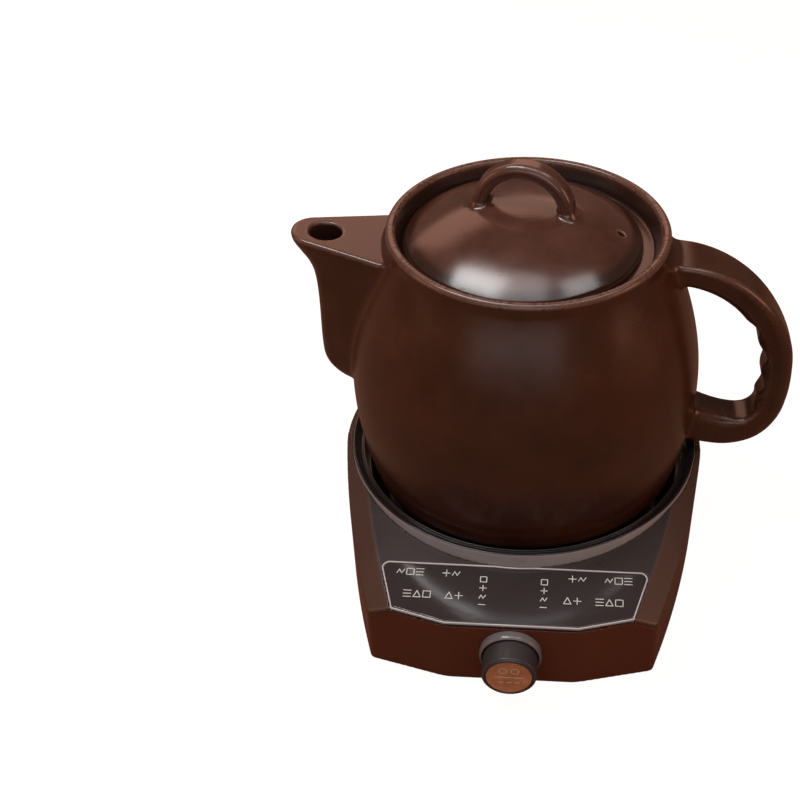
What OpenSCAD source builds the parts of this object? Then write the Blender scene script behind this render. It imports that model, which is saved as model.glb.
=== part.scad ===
/* [Pot] */
// Widest outside radius of the pot
pot_r = 100; // [96:1:102]
// Height of the widest ring above the table
belly_z = 112; // [106:1:118]
// Height of the pot's outer underside above the table
pot_z0 = 34; // [34:0.5:36]
// Radius of the flat underside
pot_foot_r = 64; // [60:1:68]
// Height of the top of the rim above the table
rim_z = 208.6; // [206:0.2:210]
// Outside radius of the rim
rim_r = 76.8; // [76:0.2:78]
// Wall thickness of the fired pot
pot_wall = 6.5; // [5:0.5:8]
// Radius of the neck under the lid
neck_r = 61.5; // [60:0.5:63]
// Height of the ledge that carries the lid
ledge_z = 196.6; // [196:0.2:197]

/* [Spout] */
// Reach of the spout tip from the pot axis
spout_reach = 129; // [125:1:132]
// Half width of the spout where it meets the pot
spout_half_w = 29; // [26:1:31]
// Height of the flat spout top at the tip
spout_top_z = 201.5; // [199:0.5:202]
// Rise angle of the flat spout top
spout_tilt = 6; // [4:0.5:8]
// Radius of the pouring hole
spout_hole_r = 9.5; // [8:0.5:10]

/* [Pot handle] */
// Half width of the strap at its top
strap_half_w = 15; // [13:0.5:16]
// Thickness of the strap at its top
strap_t = 14; // [12:0.5:16]
// Number of finger grooves inside the handle
groove_n = 4; // [3:1:5]

/* [Lid] */
// Radius of the lid
lid_r = 65; // [64:0.5:65]
// Height of the round top above its edge
dome_h = 13.1; // [11:0.1:15]
// How far to the left the loose lid rests
lid_off = 2.8; // [0:0.2:2.8]
// Radius of the loop's centre line
loop_r = 25.2; // [24:0.1:26]
// Turn of the loop about the pot axis
loop_turn = -11; // [-20:1:20]
// Radius of the steam hole
vent_r = 1.7; // [1.2:0.1:2.2]

/* [Heating base] */
// Outside radius of the rounded back
base_r = 107.5; // [106.5:0.5:109]
// Radius of the long side curves
side_r = 600; // [500:10:800]
// Half width at the front corners
corner_x = 78.5; // [76:0.5:80]
// Distance of the front corners from the pot axis
corner_y = 131; // [129:0.5:133]
// Half width of the middle front face
front_x = 36; // [33:1:40]
// Distance of the middle front face from the pot axis
front_y = 142; // [140:0.5:144]
// Height of the flat top round the recess
top_z = 61; // [60:0.5:62]
// Height of the deck at its front edge
deck_z = 47.5; // [46:0.5:49]
// Slope of the deck, rise over run
deck_slope = 0.145; // [0.12:0.005:0.16]
// Drop of the shoulder's outer edge under the deck
shoulder_drop = 8.2; // [6:0.2:10]
// Steepness of the shoulder, rise over run
shoulder_rise = 0.68; // [0.5:0.02:1]
// Wall thickness of the plastic shells
shell_t = 2.5; // [2:0.1:3]
// Height of the rubber feet
foot_h = 3; // [2:0.5:5]

/* [Recess] */
// Outside radius of the recess ring
ring_r = 103.9; // [103.5:0.1:104.5]
// Height of the recess ring's lip
ring_z = 62; // [61.5:0.1:63]
// Radius of the opening inside the ring
well_r = 96.5; // [96:0.5:98]
// Radius of the heating plate
plate_r = 62; // [58:1:66]
// Gap between the heating plate and the pot
plate_gap = 0.3; // [0.2:0.1:0.5]

/* [Knob] */
// Radius of the knob
knob_r = 14.7; // [13:0.1:15.5]
// Height of the knob's axis above the table
knob_z = 27.5; // [26:0.5:29]
// Distance of the knob's face from the pot axis
knob_face = 160; // [157:0.5:163]
// Travel when the knob is pressed
knob_press = 1; // [0.5:0.1:1.5]
// Radius of the fixed ring round the knob
bezel_r = 17; // [16.5:0.1:18]

/* [Hidden] */
$fn = 96;
e = 0.01;
gap = 0.15;
ceramic = "#5a3c33";
brown = "#4a2c22";
taupe = "#5a4f50";

// Middle of the whole outline, moved to the origin
handle_x = 153.85;
inlet_proud = 1;
mid_x = (handle_x-spout_reach)/2;
mid_y = (base_r+inlet_proud-knob_face)/2;

// Long side curve: a big circle that touches the back circle and passes the front corner
corner_d2 = corner_x*corner_x+corner_y*corner_y;
side_cos = (base_r*(2*side_r-base_r)-corner_d2)/(2*(side_r-base_r)*sqrt(corner_d2));
side_a = atan2(corner_y, corner_x)-acos(side_cos);
side_c = [-(side_r-base_r)*cos(side_a), (side_r-base_r)*sin(side_a)];
facet_a = atan2(front_y-corner_y, corner_x-front_x);
edge_z = deck_z-shoulder_drop+deck_slope*(front_y-corner_y)+0.2;
deck_a = atan(deck_slope);
back_edge_z = top_z-2.6;

// Points of a cubic curve through control points p, without its first point
function bez(p, n) = [for (i = [1:n]) let (t = i/n, u = 1-t)
    u*u*u*p[0]+3*u*u*t*p[1]+3*u*t*t*p[2]+t*t*t*p[3]];

// Smooth path through rows of numbers, at a place counted in rows
function smooth(rows, s) = let (n = len(rows)-1, i = min(floor(s), n-1), t = s-i,
    a = rows[max(i-1, 0)], b = rows[i], c = rows[i+1], d = rows[min(i+2, n)])
    b+0.5*t*((c-a)+t*((2*a-5*b+4*c-d)+t*(3*b-a-3*c+d)));

// Outside of the pot, from the underside's centre to the rim
belly = [pot_r, belly_z];
shoulder_pts = bez([[pot_foot_r, pot_z0], [pot_foot_r+15, pot_z0], [pot_r-10, pot_z0+12], [pot_r-7, pot_z0+26]], 8);
lower_pts = bez([[pot_r-7, pot_z0+26], [pot_r-3.5, pot_z0+39], [pot_r, belly_z-20], belly], 8);
upper_pts = bez([belly, [pot_r, belly_z+40], [rim_r+6.7, rim_z-28.6], [rim_r+0.4, rim_z-8]], 14);
lip_r = 2.6;
lip_c = [rim_r-lip_r, rim_z-lip_r];
lip_pts = [for (a = [0:20:180]) lip_c+lip_r*[cos(a), sin(a)]];
outer_pts = concat([[0, pot_z0], [pot_foot_r, pot_z0]], shoulder_pts, lower_pts, upper_pts);
// Inside of the pot, from the lid ledge down to the floor
in_r = pot_r-pot_wall;
inner_top = [[rim_r-8, ledge_z+1], [rim_r-8.8, ledge_z], [neck_r, ledge_z], [neck_r, ledge_z-7.6]];
inner_high = bez([[neck_r, ledge_z-7.6], [neck_r+14, ledge_z-16], [in_r, belly_z+36], [in_r, belly_z]], 12);
inner_low = bez([[in_r, belly_z], [in_r, belly_z-34], [in_r-4, pot_z0+pot_wall+1], [pot_foot_r-6, pot_z0+pot_wall+0.5]], 12);
floor_pts = [[0, pot_z0+pot_wall+0.5]];

module pot_solid() {
    rotate_extrude() polygon(concat(outer_pts, [[0, rim_z-8]]));
}
module place() {
    translate([-mid_x, -mid_y, 0]) children();
}
// Strainer holes behind the spout: rows of round holes through the wall
module strainer() {
    for (row = [0:3])
        for (k = [-1:1])
            translate([-pot_r-8, k*9, belly_z+12+row*11]) rotate([0, 90, 0]) cylinder(h = 40, r = 2.5, $fn = 24);
}
module pot_body() {
    color(ceramic) place() difference() {
        rotate_extrude()
            polygon(concat(outer_pts, lip_pts, inner_top, inner_high, inner_low, floor_pts));
        strainer();
    }
}

// Each row: height, reach of the rounded nose, nose radius, half width at the pot wall
spout_rows = [[204, 0, 14, 0], [197, 0.3, 14, 0], [190, 4.2, 12.5, 0], [183, 8.2, 11.5, 0], [174, 10.7, 10.5, 0],
              [158, 11.6, 10, 1], [128, 11.2, 10, 1], [116, 12.5, 9.5, -1], [108, 18, 9, -4], [102, 27, 8, -8]];
spout_n = 18;
module spout_slice(i) {
    r = smooth(spout_rows, i*(len(spout_rows)-1)/spout_n);
    translate([-spout_reach+r[1]+r[2], 0, r[0]]) cylinder(h = 0.05, r = r[2], $fn = 32);
    translate([-72, -spout_half_w-r[3], r[0]]) cube([2, 2*(spout_half_w+r[3]), 0.05]);
}
module pot_spout() {
    color(ceramic) place() difference() {
        for (i = [0:spout_n-1]) hull() {
            spout_slice(i);
            spout_slice(i+1);
        }
        // Flat top, rising towards the tip
        translate([-spout_reach, -60, spout_top_z]) rotate([0, spout_tilt, 0]) translate([-20, 0, 0]) cube([120, 120, 40]);
        // Pouring hole, and the channel under it that opens to the strainer holes
        hull() {
            translate([-spout_reach+17, 0, spout_top_z+5]) cylinder(h = 1, r = spout_hole_r, $fn = 36);
            translate([-106, 0, 176]) cylinder(h = 1, r = 6.5, $fn = 36);
        }
        hull() {
            translate([-106, 0, 116]) cylinder(h = 60.5, r = 6.5, $fn = 36);
            translate([-84, -12, 116]) cube([2, 24, 48]);
        }
        pot_solid();
    }
}

// Each row: x, z, tilt of the strap, half width, thickness
handle_rows = [[74, 188, 8, 1, 1], [90, 186.5, 14, 1, 1], [104, 182, 24, 0.97, 1.03], [117, 174, 36, 0.92, 1.08],
               [128, 163, 48, 0.86, 1.14], [137, 149, 62, 0.78, 1.2], [142.6, 134, 74, 0.7, 1.26],
               [144.6, 118, 85, 0.66, 1.28], [144.2, 103, 96, 0.66, 1.3], [141, 90, 112, 0.68, 1.34],
               [133, 80.6, 135, 0.72, 1.44], [121, 77.2, 165, 0.76, 1.54], [108, 79, 190, 0.8, 1.6],
               [92, 84, 198, 0.86, 1.7]];
strap_n = 26;
module strap_slice(i) {
    r = smooth(handle_rows, i*(len(handle_rows)-1)/strap_n);
    w = strap_half_w*r[3];
    t = strap_t*r[4]/2;
    soft = 2+5.5*(1-r[3])/0.34;
    translate([r[0], 0, r[1]]) rotate([0, r[2], 0]) {
        for (s = [-1, 1]) {
            translate([0, s*(w-min(soft, t)), t-min(soft, t)])
                rotate([0, 90, 0]) cylinder(h = 0.05, r = min(soft, t), $fn = 24);
            translate([0, s*(w-min(6, t)), min(6, t)-t])
                rotate([0, 90, 0]) cylinder(h = 0.05, r = min(6, t), $fn = 24);
        }
    }
}
module pot_handle() {
    color(ceramic) place() difference() {
        for (i = [0:strap_n-1]) hull() {
            strap_slice(i);
            strap_slice(i+1);
        }
        // Finger grooves inside the grip
        for (i = [0:groove_n-1]) {
            r = smooth(handle_rows, 4.5+i*4.5/(groove_n-1));
            reach = strap_t*r[4]/2+9.5-2.6;
            translate([r[0]-reach*sin(r[2]), 0, r[1]-reach*cos(r[2])]) rotate([90, 0, 0])
                cylinder(h = 60, r = 9.5, center = true, $fn = 40);
        }
        pot_solid();
    }
}

// Lid: round top, edge on the ledge, locating skirt
lid_z = ledge_z+gap;
lid_side = 3.9;
dome_r = lid_r-1.6;
dome_sphere = (dome_r*dome_r+dome_h*dome_h)/(2*dome_h);
dome_top = lid_z+lid_side+dome_h;
module place_lid() {
    place() translate([-lid_off, lid_off/2, 0]) children();
}
function dome_pt(r, drop) = [r, dome_top-drop-dome_sphere+sqrt(dome_sphere*dome_sphere-r*r)];
vent_x = 52.3;
vent_y = -5;
module lid() {
    top = [for (i = [0:16]) dome_pt(dome_r*i/16, 0)];
    under = [for (i = [16:-1:0]) dome_pt((dome_r-10.4)*i/16, 5)];
    color(ceramic) place_lid() difference() {
        rotate_extrude() polygon(concat(top, [[lid_r-0.9, lid_z+lid_side-0.8], [lid_r-0.3, lid_z+2.5],
            [lid_r, lid_z+1.7], [lid_r, lid_z+0.6], [lid_r-0.8, lid_z],
            [neck_r-4.6, lid_z], [neck_r-4.8, lid_z-6], [dome_r-10.4, lid_z-6]], under));
        translate([vent_x, vent_y, lid_z-2]) cylinder(h = 20, r = vent_r, $fn = 24);
    }
}
module lid_loop() {
    loop_z = 215.8;
    color(ceramic) place_lid() translate([0, 0, loop_z]) rotate([0, 0, loop_turn]) difference() {
        union() {
            rotate([90, 0, 0]) rotate([0, 0, -16]) rotate_extrude(angle = 212) translate([loop_r, 0]) {
                square([8.2, 4.4], center = true);
                translate([0, 2.2]) circle(r = 4.1, $fn = 32);
                translate([0, -2.2]) circle(r = 4.1, $fn = 32);
            }
            for (s = [-1, 1]) translate([s*(loop_r+0.3), 0, -7.5]) cylinder(h = 6, r1 = 8, r2 = 5, $fn = 40);
        }
        translate([0, 0, dome_top-loop_z-dome_sphere]) sphere(r = dome_sphere, $fn = 160);
    }
}

// Outline of the base: back circle, long side curves and three front faces, drawn in by inset
module plan_solid(inset, z0, z1) {
    f = front_y-inset;
    k = inset*tan(facet_a/2);
    far = 60;
    tall = z1-z0;
    translate([0, 0, z0]) union() {
        cylinder(h = tall, r = base_r-inset, $fn = 180);
        intersection() {
            linear_extrude(height = tall) polygon([[-base_r, 0], [-base_r, -front_y+far*tan(facet_a)-10],
                [-front_x+k-far*cos(facet_a), -f+far*sin(facet_a)], [-front_x+k, -f], [front_x-k, -f],
                [front_x-k+far*cos(facet_a), -f+far*sin(facet_a)], [base_r, -front_y+far*tan(facet_a)-10], [base_r, 0]]);
            translate([side_c[0], side_c[1], 0]) cylinder(h = tall, r = side_r-inset, $fn = 720);
            translate([-side_c[0], side_c[1], 0]) cylinder(h = tall, r = side_r-inset, $fn = 720);
        }
    }
}
// Space under the sloping deck and between the shoulders, lowered by drop
module under_deck(drop) {
    translate([0, -front_y, deck_z-drop]) rotate([deck_a, 0, 0]) translate([-150, -20, -100]) cube([300, 300, 100]);
}
module shoulder_cone(s, drop) {
    h = 110;
    k = drop/cos(atan(shoulder_rise));
    translate([0, -corner_y, edge_z-k]) rotate([deck_a, 0, 0]) translate([s*side_c[0], side_c[1]+corner_y, -h])
        cylinder(h = 2*h, r1 = side_r+h/shoulder_rise, r2 = side_r-h/shoulder_rise, $fn = 720);
}
module base_form(inset, drop, z0) {
    intersection() {
        plan_solid(inset, z0, top_z-drop);
        union() {
            under_deck(drop);
            translate([-150, -front_y+(top_z-deck_z)/deck_slope-1, z0-10]) cube([300, 300, 100]);
        }
        union() {
            shoulder_cone(1, drop);
            translate([-260, -150, -20]) cube([260, 300, 120]);
        }
        union() {
            shoulder_cone(-1, drop);
            translate([0, -150, -20]) cube([260, 300, 120]);
        }
        back_cone(drop);
    }
}
module back_cone(drop) {
    slope = 0.6;
    k = drop*1.17;
    union() {
        translate([0, 0, back_edge_z-k-60]) cylinder(h = 120, r1 = base_r+60/slope, r2 = base_r-60/slope, $fn = 180);
        translate([-150, -160, -20]) cube([300, 155, 120]);
    }
}
// Seam between the side housing and the top cover
module above_seam(d) {
    translate([0, -corner_y, edge_z+d]) rotate([deck_a, 0, 0]) translate([-150, -40, 0]) cube([300, 400, 80]);
    translate([-150, -20, back_edge_z+d]) cube([300, 200, 80]);
}
// Strip along the three front faces
module front_strip(t) {
    k = t*tan(facet_a/2);
    far = 60;
    translate([0, 0, foot_h]) linear_extrude(height = 60) polygon([
        [-front_x-far*cos(facet_a), -front_y+far*sin(facet_a)-1], [-front_x, -front_y-1], [front_x, -front_y-1],
        [front_x+far*cos(facet_a), -front_y+far*sin(facet_a)-1],
        [front_x-k+far*cos(facet_a), -front_y+t+far*sin(facet_a)], [front_x-k, -front_y+t],
        [-front_x+k, -front_y+t], [-front_x+k-far*cos(facet_a), -front_y+t+far*sin(facet_a)]]);
}
boss_xy = [[70, -112], [-70, -112], [64, 76], [-64, 76]];
module bosses(z0, z1) {
    for (p = boss_xy)
        translate([p[0], p[1], z0]) difference() {
            cylinder(h = z1-z0, r = 5, $fn = 32);
            translate([0, 0, -e]) cylinder(h = z1-z0-3, r = 1.6, $fn = 24);
        }
}
inlet_z = 16.5;
module housing_shell() {
    color(brown) place() difference() {
        union() {
            difference() {
                base_form(0, 0, foot_h);
                base_form(shell_t, shell_t, foot_h-5);
                above_seam(0);
            }
            intersection() {
                base_form(0, shell_t-0.1, foot_h);
                front_strip(shell_t);
            }
            bosses(foot_h+2.7, 17);
        }
        translate([0, 0, 44]) cylinder(h = 60, r = ring_r+0.1, $fn = 180);
        // Bushing hole for the knob and the opening for the power inlet
        translate([0, -front_y-5, knob_z]) rotate([-90, 0, 0]) cylinder(h = 12, r = 3.6, $fn = 40);
        translate([-14.2, base_r-8, inlet_z-10.2]) cube([28.4, 20, 20.4]);
    }
}
module top_cover() {
    color(taupe) place() difference() {
        intersection() {
            difference() {
                base_form(0, 0, foot_h);
                base_form(shell_t, shell_t, foot_h-5);
            }
            above_seam(0.05);
        }
        intersection() {
            base_form(-1, shell_t-0.15, foot_h);
            front_strip(shell_t+0.05);
        }
        translate([0, 0, foot_h-1]) cylinder(h = 80, r = ring_r+0.1, $fn = 180);
        panel_cut();
    }
}

// Frame of the sloping deck: origin at the deck's front edge
module on_deck(h) {
    translate([0, -front_y, deck_z]) rotate([deck_a, 0, 0]) translate([0, 0, h]) children();
}
panel_back = 39;
trim_w = 1.6;
panel_x = 73.5;
panel_front_x = 65.5;
facet_s = (front_y-corner_y)/(corner_x-front_x);
module panel_outline(inset, z) {
    fx = panel_front_x-inset;
    k = inset*0.16;
    linear_extrude(height = z) polygon([[-front_x+k, inset], [front_x-k, inset], [fx, inset+(fx-front_x)*facet_s],
        [panel_x-inset, panel_back-5], [panel_x-inset-1.2, panel_back-1.4-inset*0.5], [panel_x-inset-4.5, panel_back-inset],
        [-panel_x+inset+4.5, panel_back-inset], [-panel_x+inset+1.2, panel_back-1.4-inset*0.5],
        [-panel_x+inset, panel_back-5], [-fx, inset+(fx-front_x)*facet_s]]);
}
module ring_space() {
    cylinder(h = 90, r = ring_r+0.2, $fn = 180);
}
module panel_cut() {
    on_deck(-1.2) panel_outline(0.3, 5);
}
module panel_trim() {
    color("#9a9494") place() difference() {
        on_deck(-1.15) panel_outline(0.35, 1.75);
        on_deck(-2) panel_outline(trim_w+0.35, 4);
        ring_space();
    }
}
module control_panel() {
    color("#1c1a1c") place() difference() {
        on_deck(-1.15) panel_outline(trim_w+0.4, 1.5);
        ring_space();
    }
}

// Recess: ring, reflector bowl, plate with its element
module recess_ring() {
    color("#2c2727") place() rotate_extrude($fn = 180) union() {
        polygon([[well_r, 45], [ring_r, 45], [ring_r, ring_z-1.6], [ring_r-0.5, ring_z-0.5], [ring_r-1.6, ring_z],
                 [ring_r-2.4, ring_z-0.2], [well_r+1.4, ring_z-3.2], [well_r+0.9, ring_z-2.4], [well_r+0.3, ring_z-2.4], [well_r, ring_z-3]]);
    }
}
shield_z = 19;
// Place of the thermostat and the thermal fuse, each way from the pot axis
guard_xy = 20;
module heat_shield() {
    color("#b9babb") place() difference() {
        rotate_extrude($fn = 160) polygon([[14, shield_z], [84, shield_z], [94.4, shield_z+12], [94.9, 43.8], [100, 43.8], [100, 44.9],
            [93.9, 44.9], [93.4, shield_z+12.4], [83.6, shield_z+1], [14, shield_z+1]]);
        for (a = [90, 210, 330]) rotate([0, 0, a]) translate([52, 0, shield_z-1]) cylinder(h = 4, r = 2.2, $fn = 24);
        for (s = [-1, 1]) translate([s*guard_xy, guard_xy, shield_z-1]) cylinder(h = 4, r = 4, $fn = 24);
    }
}
plate_top = pot_z0-plate_gap;
element_r = 42;
element_z = plate_top-8.2;
module element_tube(r) {
    translate([0, 0, element_z]) rotate([0, 0, 110]) rotate_extrude(angle = 320, $fn = 120)
        translate([element_r, 0]) circle(r = r, $fn = 32);
}
module heater_plate() {
    color("#8d8f92") place() difference() {
        union() {
            translate([0, 0, plate_top-5]) cylinder(h = 4.4, r = plate_r);
            translate([0, 0, plate_top-0.6]) cylinder(h = 0.6, r1 = plate_r, r2 = plate_r-0.6);
            translate([0, 0, plate_top-7.4]) difference() {
                cylinder(h = 2.5, r = element_r+6.5);
                translate([0, 0, -1]) cylinder(h = 5, r = element_r-6.5);
            }
            for (a = [90, 210, 330]) rotate([0, 0, a]) translate([52, 0, plate_top-8]) cylinder(h = 4, r = 4, $fn = 32);
        }
        translate([0, 0, plate_top-10]) cylinder(h = 20, r = 11);
        element_tube(4.1);
        for (a = [90, 210, 330]) rotate([0, 0, a]) translate([52, 0, plate_top-9]) cylinder(h = 6, r = 1.5, $fn = 24);
    }
}
module heater_element() {
    color("#6f6c69") place() {
        element_tube(4);
        for (a = [110, 70]) rotate([0, 0, a]) translate([element_r, 0, element_z-1.5]) {
            rotate([a == 110 ? 90 : -90, 0, 0]) cylinder(h = 8, r = 2, $fn = 24);
            rotate([a == 110 ? 90 : -90, 0, 0]) translate([0, 0, 8]) cube([1, 3.4, 6], center = true);
        }
    }
}
post_a = [90, 210, 330];
module plate_posts() {
    color("#a9a9ab") place() for (a = post_a) rotate([0, 0, a]) translate([52, 0, shield_z+1]) difference() {
        cylinder(h = plate_top-8-shield_z-1, r = 4, $fn = 6);
        translate([0, 0, -e]) cylinder(h = 20, r = 1.8, $fn = 24);
    }
}
module post_screws() {
    color("silver") place() for (a = post_a) rotate([0, 0, a]) translate([52, 0, 0]) {
        translate([0, 0, shield_z]) cylinder(h = plate_top-4-shield_z, r = 1.4, $fn = 24);
        translate([0, 0, shield_z-2]) cylinder(h = 2, r = 3.6, $fn = 32);
    }
}

// Sprung temperature sensor in the middle of the plate
sensor_top = plate_top;
module sensor_cap() {
    color("#c8c9ca") place() difference() {
        union() {
            translate([0, 0, sensor_top-7]) cylinder(h = 6.2, r = 9, $fn = 64);
            translate([0, 0, sensor_top-0.8]) cylinder(h = 0.8, r1 = 9, r2 = 8.2, $fn = 64);
            translate([0, 0, sensor_top-7]) cylinder(h = 1, r = 10, $fn = 64);
        }
        translate([0, 0, sensor_top-8]) cylinder(h = 7, r = 8.2, $fn = 64);
    }
}
spring_n = 10;
module sensor_spring() {
    color("silver") place() for (i = [0:spring_n-1]) translate([0, 0, 16.12+i*1.7])
        rotate_extrude($fn = 64) translate([6.4, 0]) circle(r = 0.86, $fn = 24);
}
module sensor_holder() {
    color("#8a8682") place() difference() {
        union() {
            translate([0, 0, 13]) cylinder(h = 1.6, r = 17, $fn = 64);
            translate([0, 0, 13]) cylinder(h = 13, r = 13, $fn = 64);
            translate([0, 0, 17.6]) cylinder(h = 1.3, r = 17, $fn = 64);
        }
        translate([0, 0, 15.2]) cylinder(h = 20, r = 10.3, $fn = 64);
        translate([0, 0, 12]) cylinder(h = 10, r = 3, $fn = 32);
    }
}
module thermostat() {
    color("#e4dccb") place() translate([-guard_xy, guard_xy, 0]) {
        translate([0, 0, shield_z-3]) cylinder(h = 9.5-3, r = 3.8, $fn = 32);
        translate([0, 0, shield_z-6]) cylinder(h = 5.8, r = 8, $fn = 48);
        for (s = [-1, 1]) translate([s*5-0.4, -8, shield_z-9]) cube([0.8, 16, 4]);
    }
}
module thermal_fuse() {
    color("#d8d4cc") place() translate([guard_xy, guard_xy, shield_z-3.4]) {
        rotate([0, 90, 0]) cylinder(h = 22, r = 2.4, center = true, $fn = 32);
        rotate([0, 90, 0]) cylinder(h = 34, r = 0.5, center = true, $fn = 16);
        cylinder(h = 8.5, r = 1.2, $fn = 24);
    }
}

// Boards and displays under the deck
board_h = -11;
module control_board() {
    color("#27513a") place() on_deck(board_h) difference() {
        translate([-58, 7.6, 0]) cube([116, 24.4, 1.6]);
        for (s = [-1, 1]) translate([s*54, 19, -1]) cylinder(h = 4, r = 1.6, $fn = 24);
    }
}
module light_guide() {
    color("#222222") place() on_deck(board_h+1.7) difference() {
        translate([-50, 8, 0]) cube([100, 22, 6]);
        for (s = [-1, 1]) {
            translate([s*14-8, 12, -1]) cube([16, 14, 9]);
            for (x = [30, 43]) for (y = [13, 24]) translate([s*x, y, -1]) cylinder(h = 9, r = 3, $fn = 24);
        }
    }
}
module digit_displays() {
    color("#3a3a3c") place() on_deck(board_h+1.65) for (s = [-1, 1]) translate([s*14-7.5, 13, 0]) difference() {
        cube([15, 12, 6]);
        for (k = [0, 1]) translate([1.8+k*6.2, 1.8, 5.6]) difference() {
            cube([5.2, 8.4, 1]);
            translate([1, 1, -1]) cube([3.2, 2.7, 3]);
            translate([1, 4.7, -1]) cube([3.2, 2.7, 3]);
        }
    }
}
module indicator_lamps() {
    color("#e8e4da") place() on_deck(board_h+1.65)
        for (s = [-1, 1]) for (x = [30, 43]) for (y = [13, 24]) translate([s*x, y, 0]) {
            cylinder(h = 3, r = 1.5, $fn = 24);
            cylinder(h = 0.6, r = 1.9, $fn = 24);
        }
}
module board_screws() {
    color("silver") place() on_deck(board_h+1.6) for (s = [-1, 1]) translate([s*54, 19, 0]) {
        cylinder(h = 1.4, r = 2.8, $fn = 32);
        translate([0, 0, -4]) cylinder(h = 4, r = 1.3, $fn = 24);
    }
}

// Knob stack: turns freely and is pressed towards the pot
module along_y(y) {
    translate([0, y, knob_z]) rotate([-90, 0, 0]) children();
}
wall_in = -front_y+shell_t;
module encoder_body() {
    color("#4b6b55") place() difference() {
        union() {
            translate([-6.6, wall_in+0.3, knob_z-6.6]) cube([13.2, 9, 13.2]);
            along_y(-front_y-2.6) cylinder(h = 6, r = 3.45, $fn = 48);
            for (x = [-4, 0, 4]) translate([x-0.4, wall_in+4, knob_z-10.5]) cube([0.8, 0.6, 4.5]);
        }
        along_y(-front_y-3) cylinder(h = 6, r = 3.05, $fn = 48);
        along_y(wall_in+0.4) cylinder(h = 7.6, r = 4.6, $fn = 48);
    }
}
module encoder_nut() {
    color("silver") place() along_y(-front_y-2.2) difference() {
        cylinder(h = 2.1, r = 5.6, $fn = 6);
        translate([0, 0, -1]) cylinder(h = 4, r = 3.5, $fn = 48);
    }
}
module press_slider() {
    color("#d9d5cc") place() along_y(wall_in+4) difference() {
        cylinder(h = 1.6, r = 4.3, $fn = 48);
        translate([0, 0, -1]) cylinder(h = 2, r = 3.1, $fn = 48);
    }
}
module knob_shaft() {
    color("#b5b7ba") place() difference() {
        along_y(-front_y-12) cylinder(h = 18.4, r = 3, $fn = 48);
        translate([-4, -front_y-13, knob_z+1.8]) cube([8, 9, 4]);
    }
}
module knob() {
    color("#353035") place() difference() {
        union() {
            along_y(-knob_face+1.2) cylinder(h = knob_face-front_y-4.2, r = knob_r, $fn = 96);
            along_y(-knob_face) cylinder(h = 1.2, r1 = knob_r-1.2, r2 = knob_r, $fn = 96);
        }
        along_y(-knob_face-1) cylinder(h = 2.2, r = 12.5, $fn = 96);
        difference() {
            along_y(-knob_face+4) cylinder(h = 20, r = knob_r-2.2, $fn = 96);
            along_y(-knob_face+3) cylinder(h = 10, r = 5.5, $fn = 48);
        }
        difference() {
            along_y(-front_y-12) cylinder(h = 20, r = 3.02, $fn = 48);
            translate([-4, -front_y-13, knob_z+1.82]) cube([8, 8.9, 4]);
        }
    }
}
module knob_disc() {
    color("#5c3a22") place() along_y(-knob_face+0.3) cylinder(h = 0.88, r = 12.3, $fn = 96);
}
module knob_bezel() {
    color("#2a2729") place() along_y(-front_y) rotate([180, 0, 0]) rotate_extrude($fn = 96)
        polygon([[knob_r+0.5, 0.02], [bezel_r, 0.02], [bezel_r, 3.6], [bezel_r-0.4, 4.8], [bezel_r-1.1, 5.3],
                 [knob_r+0.9, 5], [knob_r+0.5, 4.4]]);
}

// Power side
module power_board() {
    color("#7a5a32") place() difference() {
        translate([-60, -132, 8.6]) cube([120, 30, 1.6]);
        for (s = [-1, 1]) translate([s*56, -104.5, 8]) cylinder(h = 4, r = 1.6, $fn = 24);
    }
}
module transformer() {
    color("#3b3b3d") place() translate([-36, -117, 10.25]) {
        translate([-9, -10, 0]) cube([18, 20, 3]);
        translate([-11, -8, 3]) cube([22, 16, 11]);
        translate([-9, -10, 14]) cube([18, 20, 1.5]);
    }
}
module relay() {
    color("#2b4c7e") place() translate([22, -126, 10.25]) cube([19, 15, 15]);
}
module capacitors() {
    color("#2d2d55") place() {
        for (x = [-14, 50]) translate([x, -112, 10.25]) difference() {
            cylinder(h = 14, r = 5, $fn = 40);
            translate([0, 0, 13.6]) cube([7, 0.5, 1], center = true);
        }
    }
}
module mains_wires() {
    color("#a07030") place() for (k = [0, 1]) {
        rotate([0, 0, -52]) rotate_extrude(angle = 118, $fn = 120) translate([90-4*k, 11.6]) circle(r = 1.3, $fn = 20);
        rotate([0, 0, -52]) translate([90-4*k, 0.1, 11.6]) rotate([90, 0, 0]) cylinder(h = 56, r = 1.3, $fn = 20);
        rotate([0, 0, 66]) translate([90-4*k, -0.1, 11.6]) rotate([-90, 0, 0]) cylinder(h = 18+6*k, r = 1.3, $fn = 20);
    }
}
module power_inlet() {
    color("#1b1b1c") place() translate([0, base_r-16, inlet_z]) difference() {
        union() {
            translate([-13.9, 0, -9.9]) cube([27.8, 16+inlet_proud, 19.8]);
            translate([-25, 8.2, -5]) cube([50, 2, 10]);
        }
        translate([-12.2, 2, -8.2]) cube([24.4, 20, 16.4]);
        for (s = [-1, 1]) translate([s*20, 0, 0]) rotate([-90, 0, 0]) cylinder(h = 20, r = 1.6, $fn = 24);
        inlet_pin_places() translate([-1.05, -1, -2.05]) cube([2.1, 4, 4.1]);
    }
}
module inlet_pin_places() {
    for (p = [[-7, -2], [0, 2], [7, -2]]) translate([p[0], 0, p[1]]) children();
}
module inlet_pins() {
    color("#c9b37a") place() translate([0, base_r-16, inlet_z]) inlet_pin_places()
        translate([-1, -3, -2]) cube([2, 15, 4]);
}
module inlet_screws() {
    color("silver") place() for (s = [-1, 1]) translate([s*20, base_r-7.85, inlet_z]) rotate([90, 0, 0]) {
        cylinder(h = 2, r = 2.8, $fn = 32);
        translate([0, 0, -2.2]) cylinder(h = 3, r = 1.3, $fn = 24);
    }
}
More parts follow.
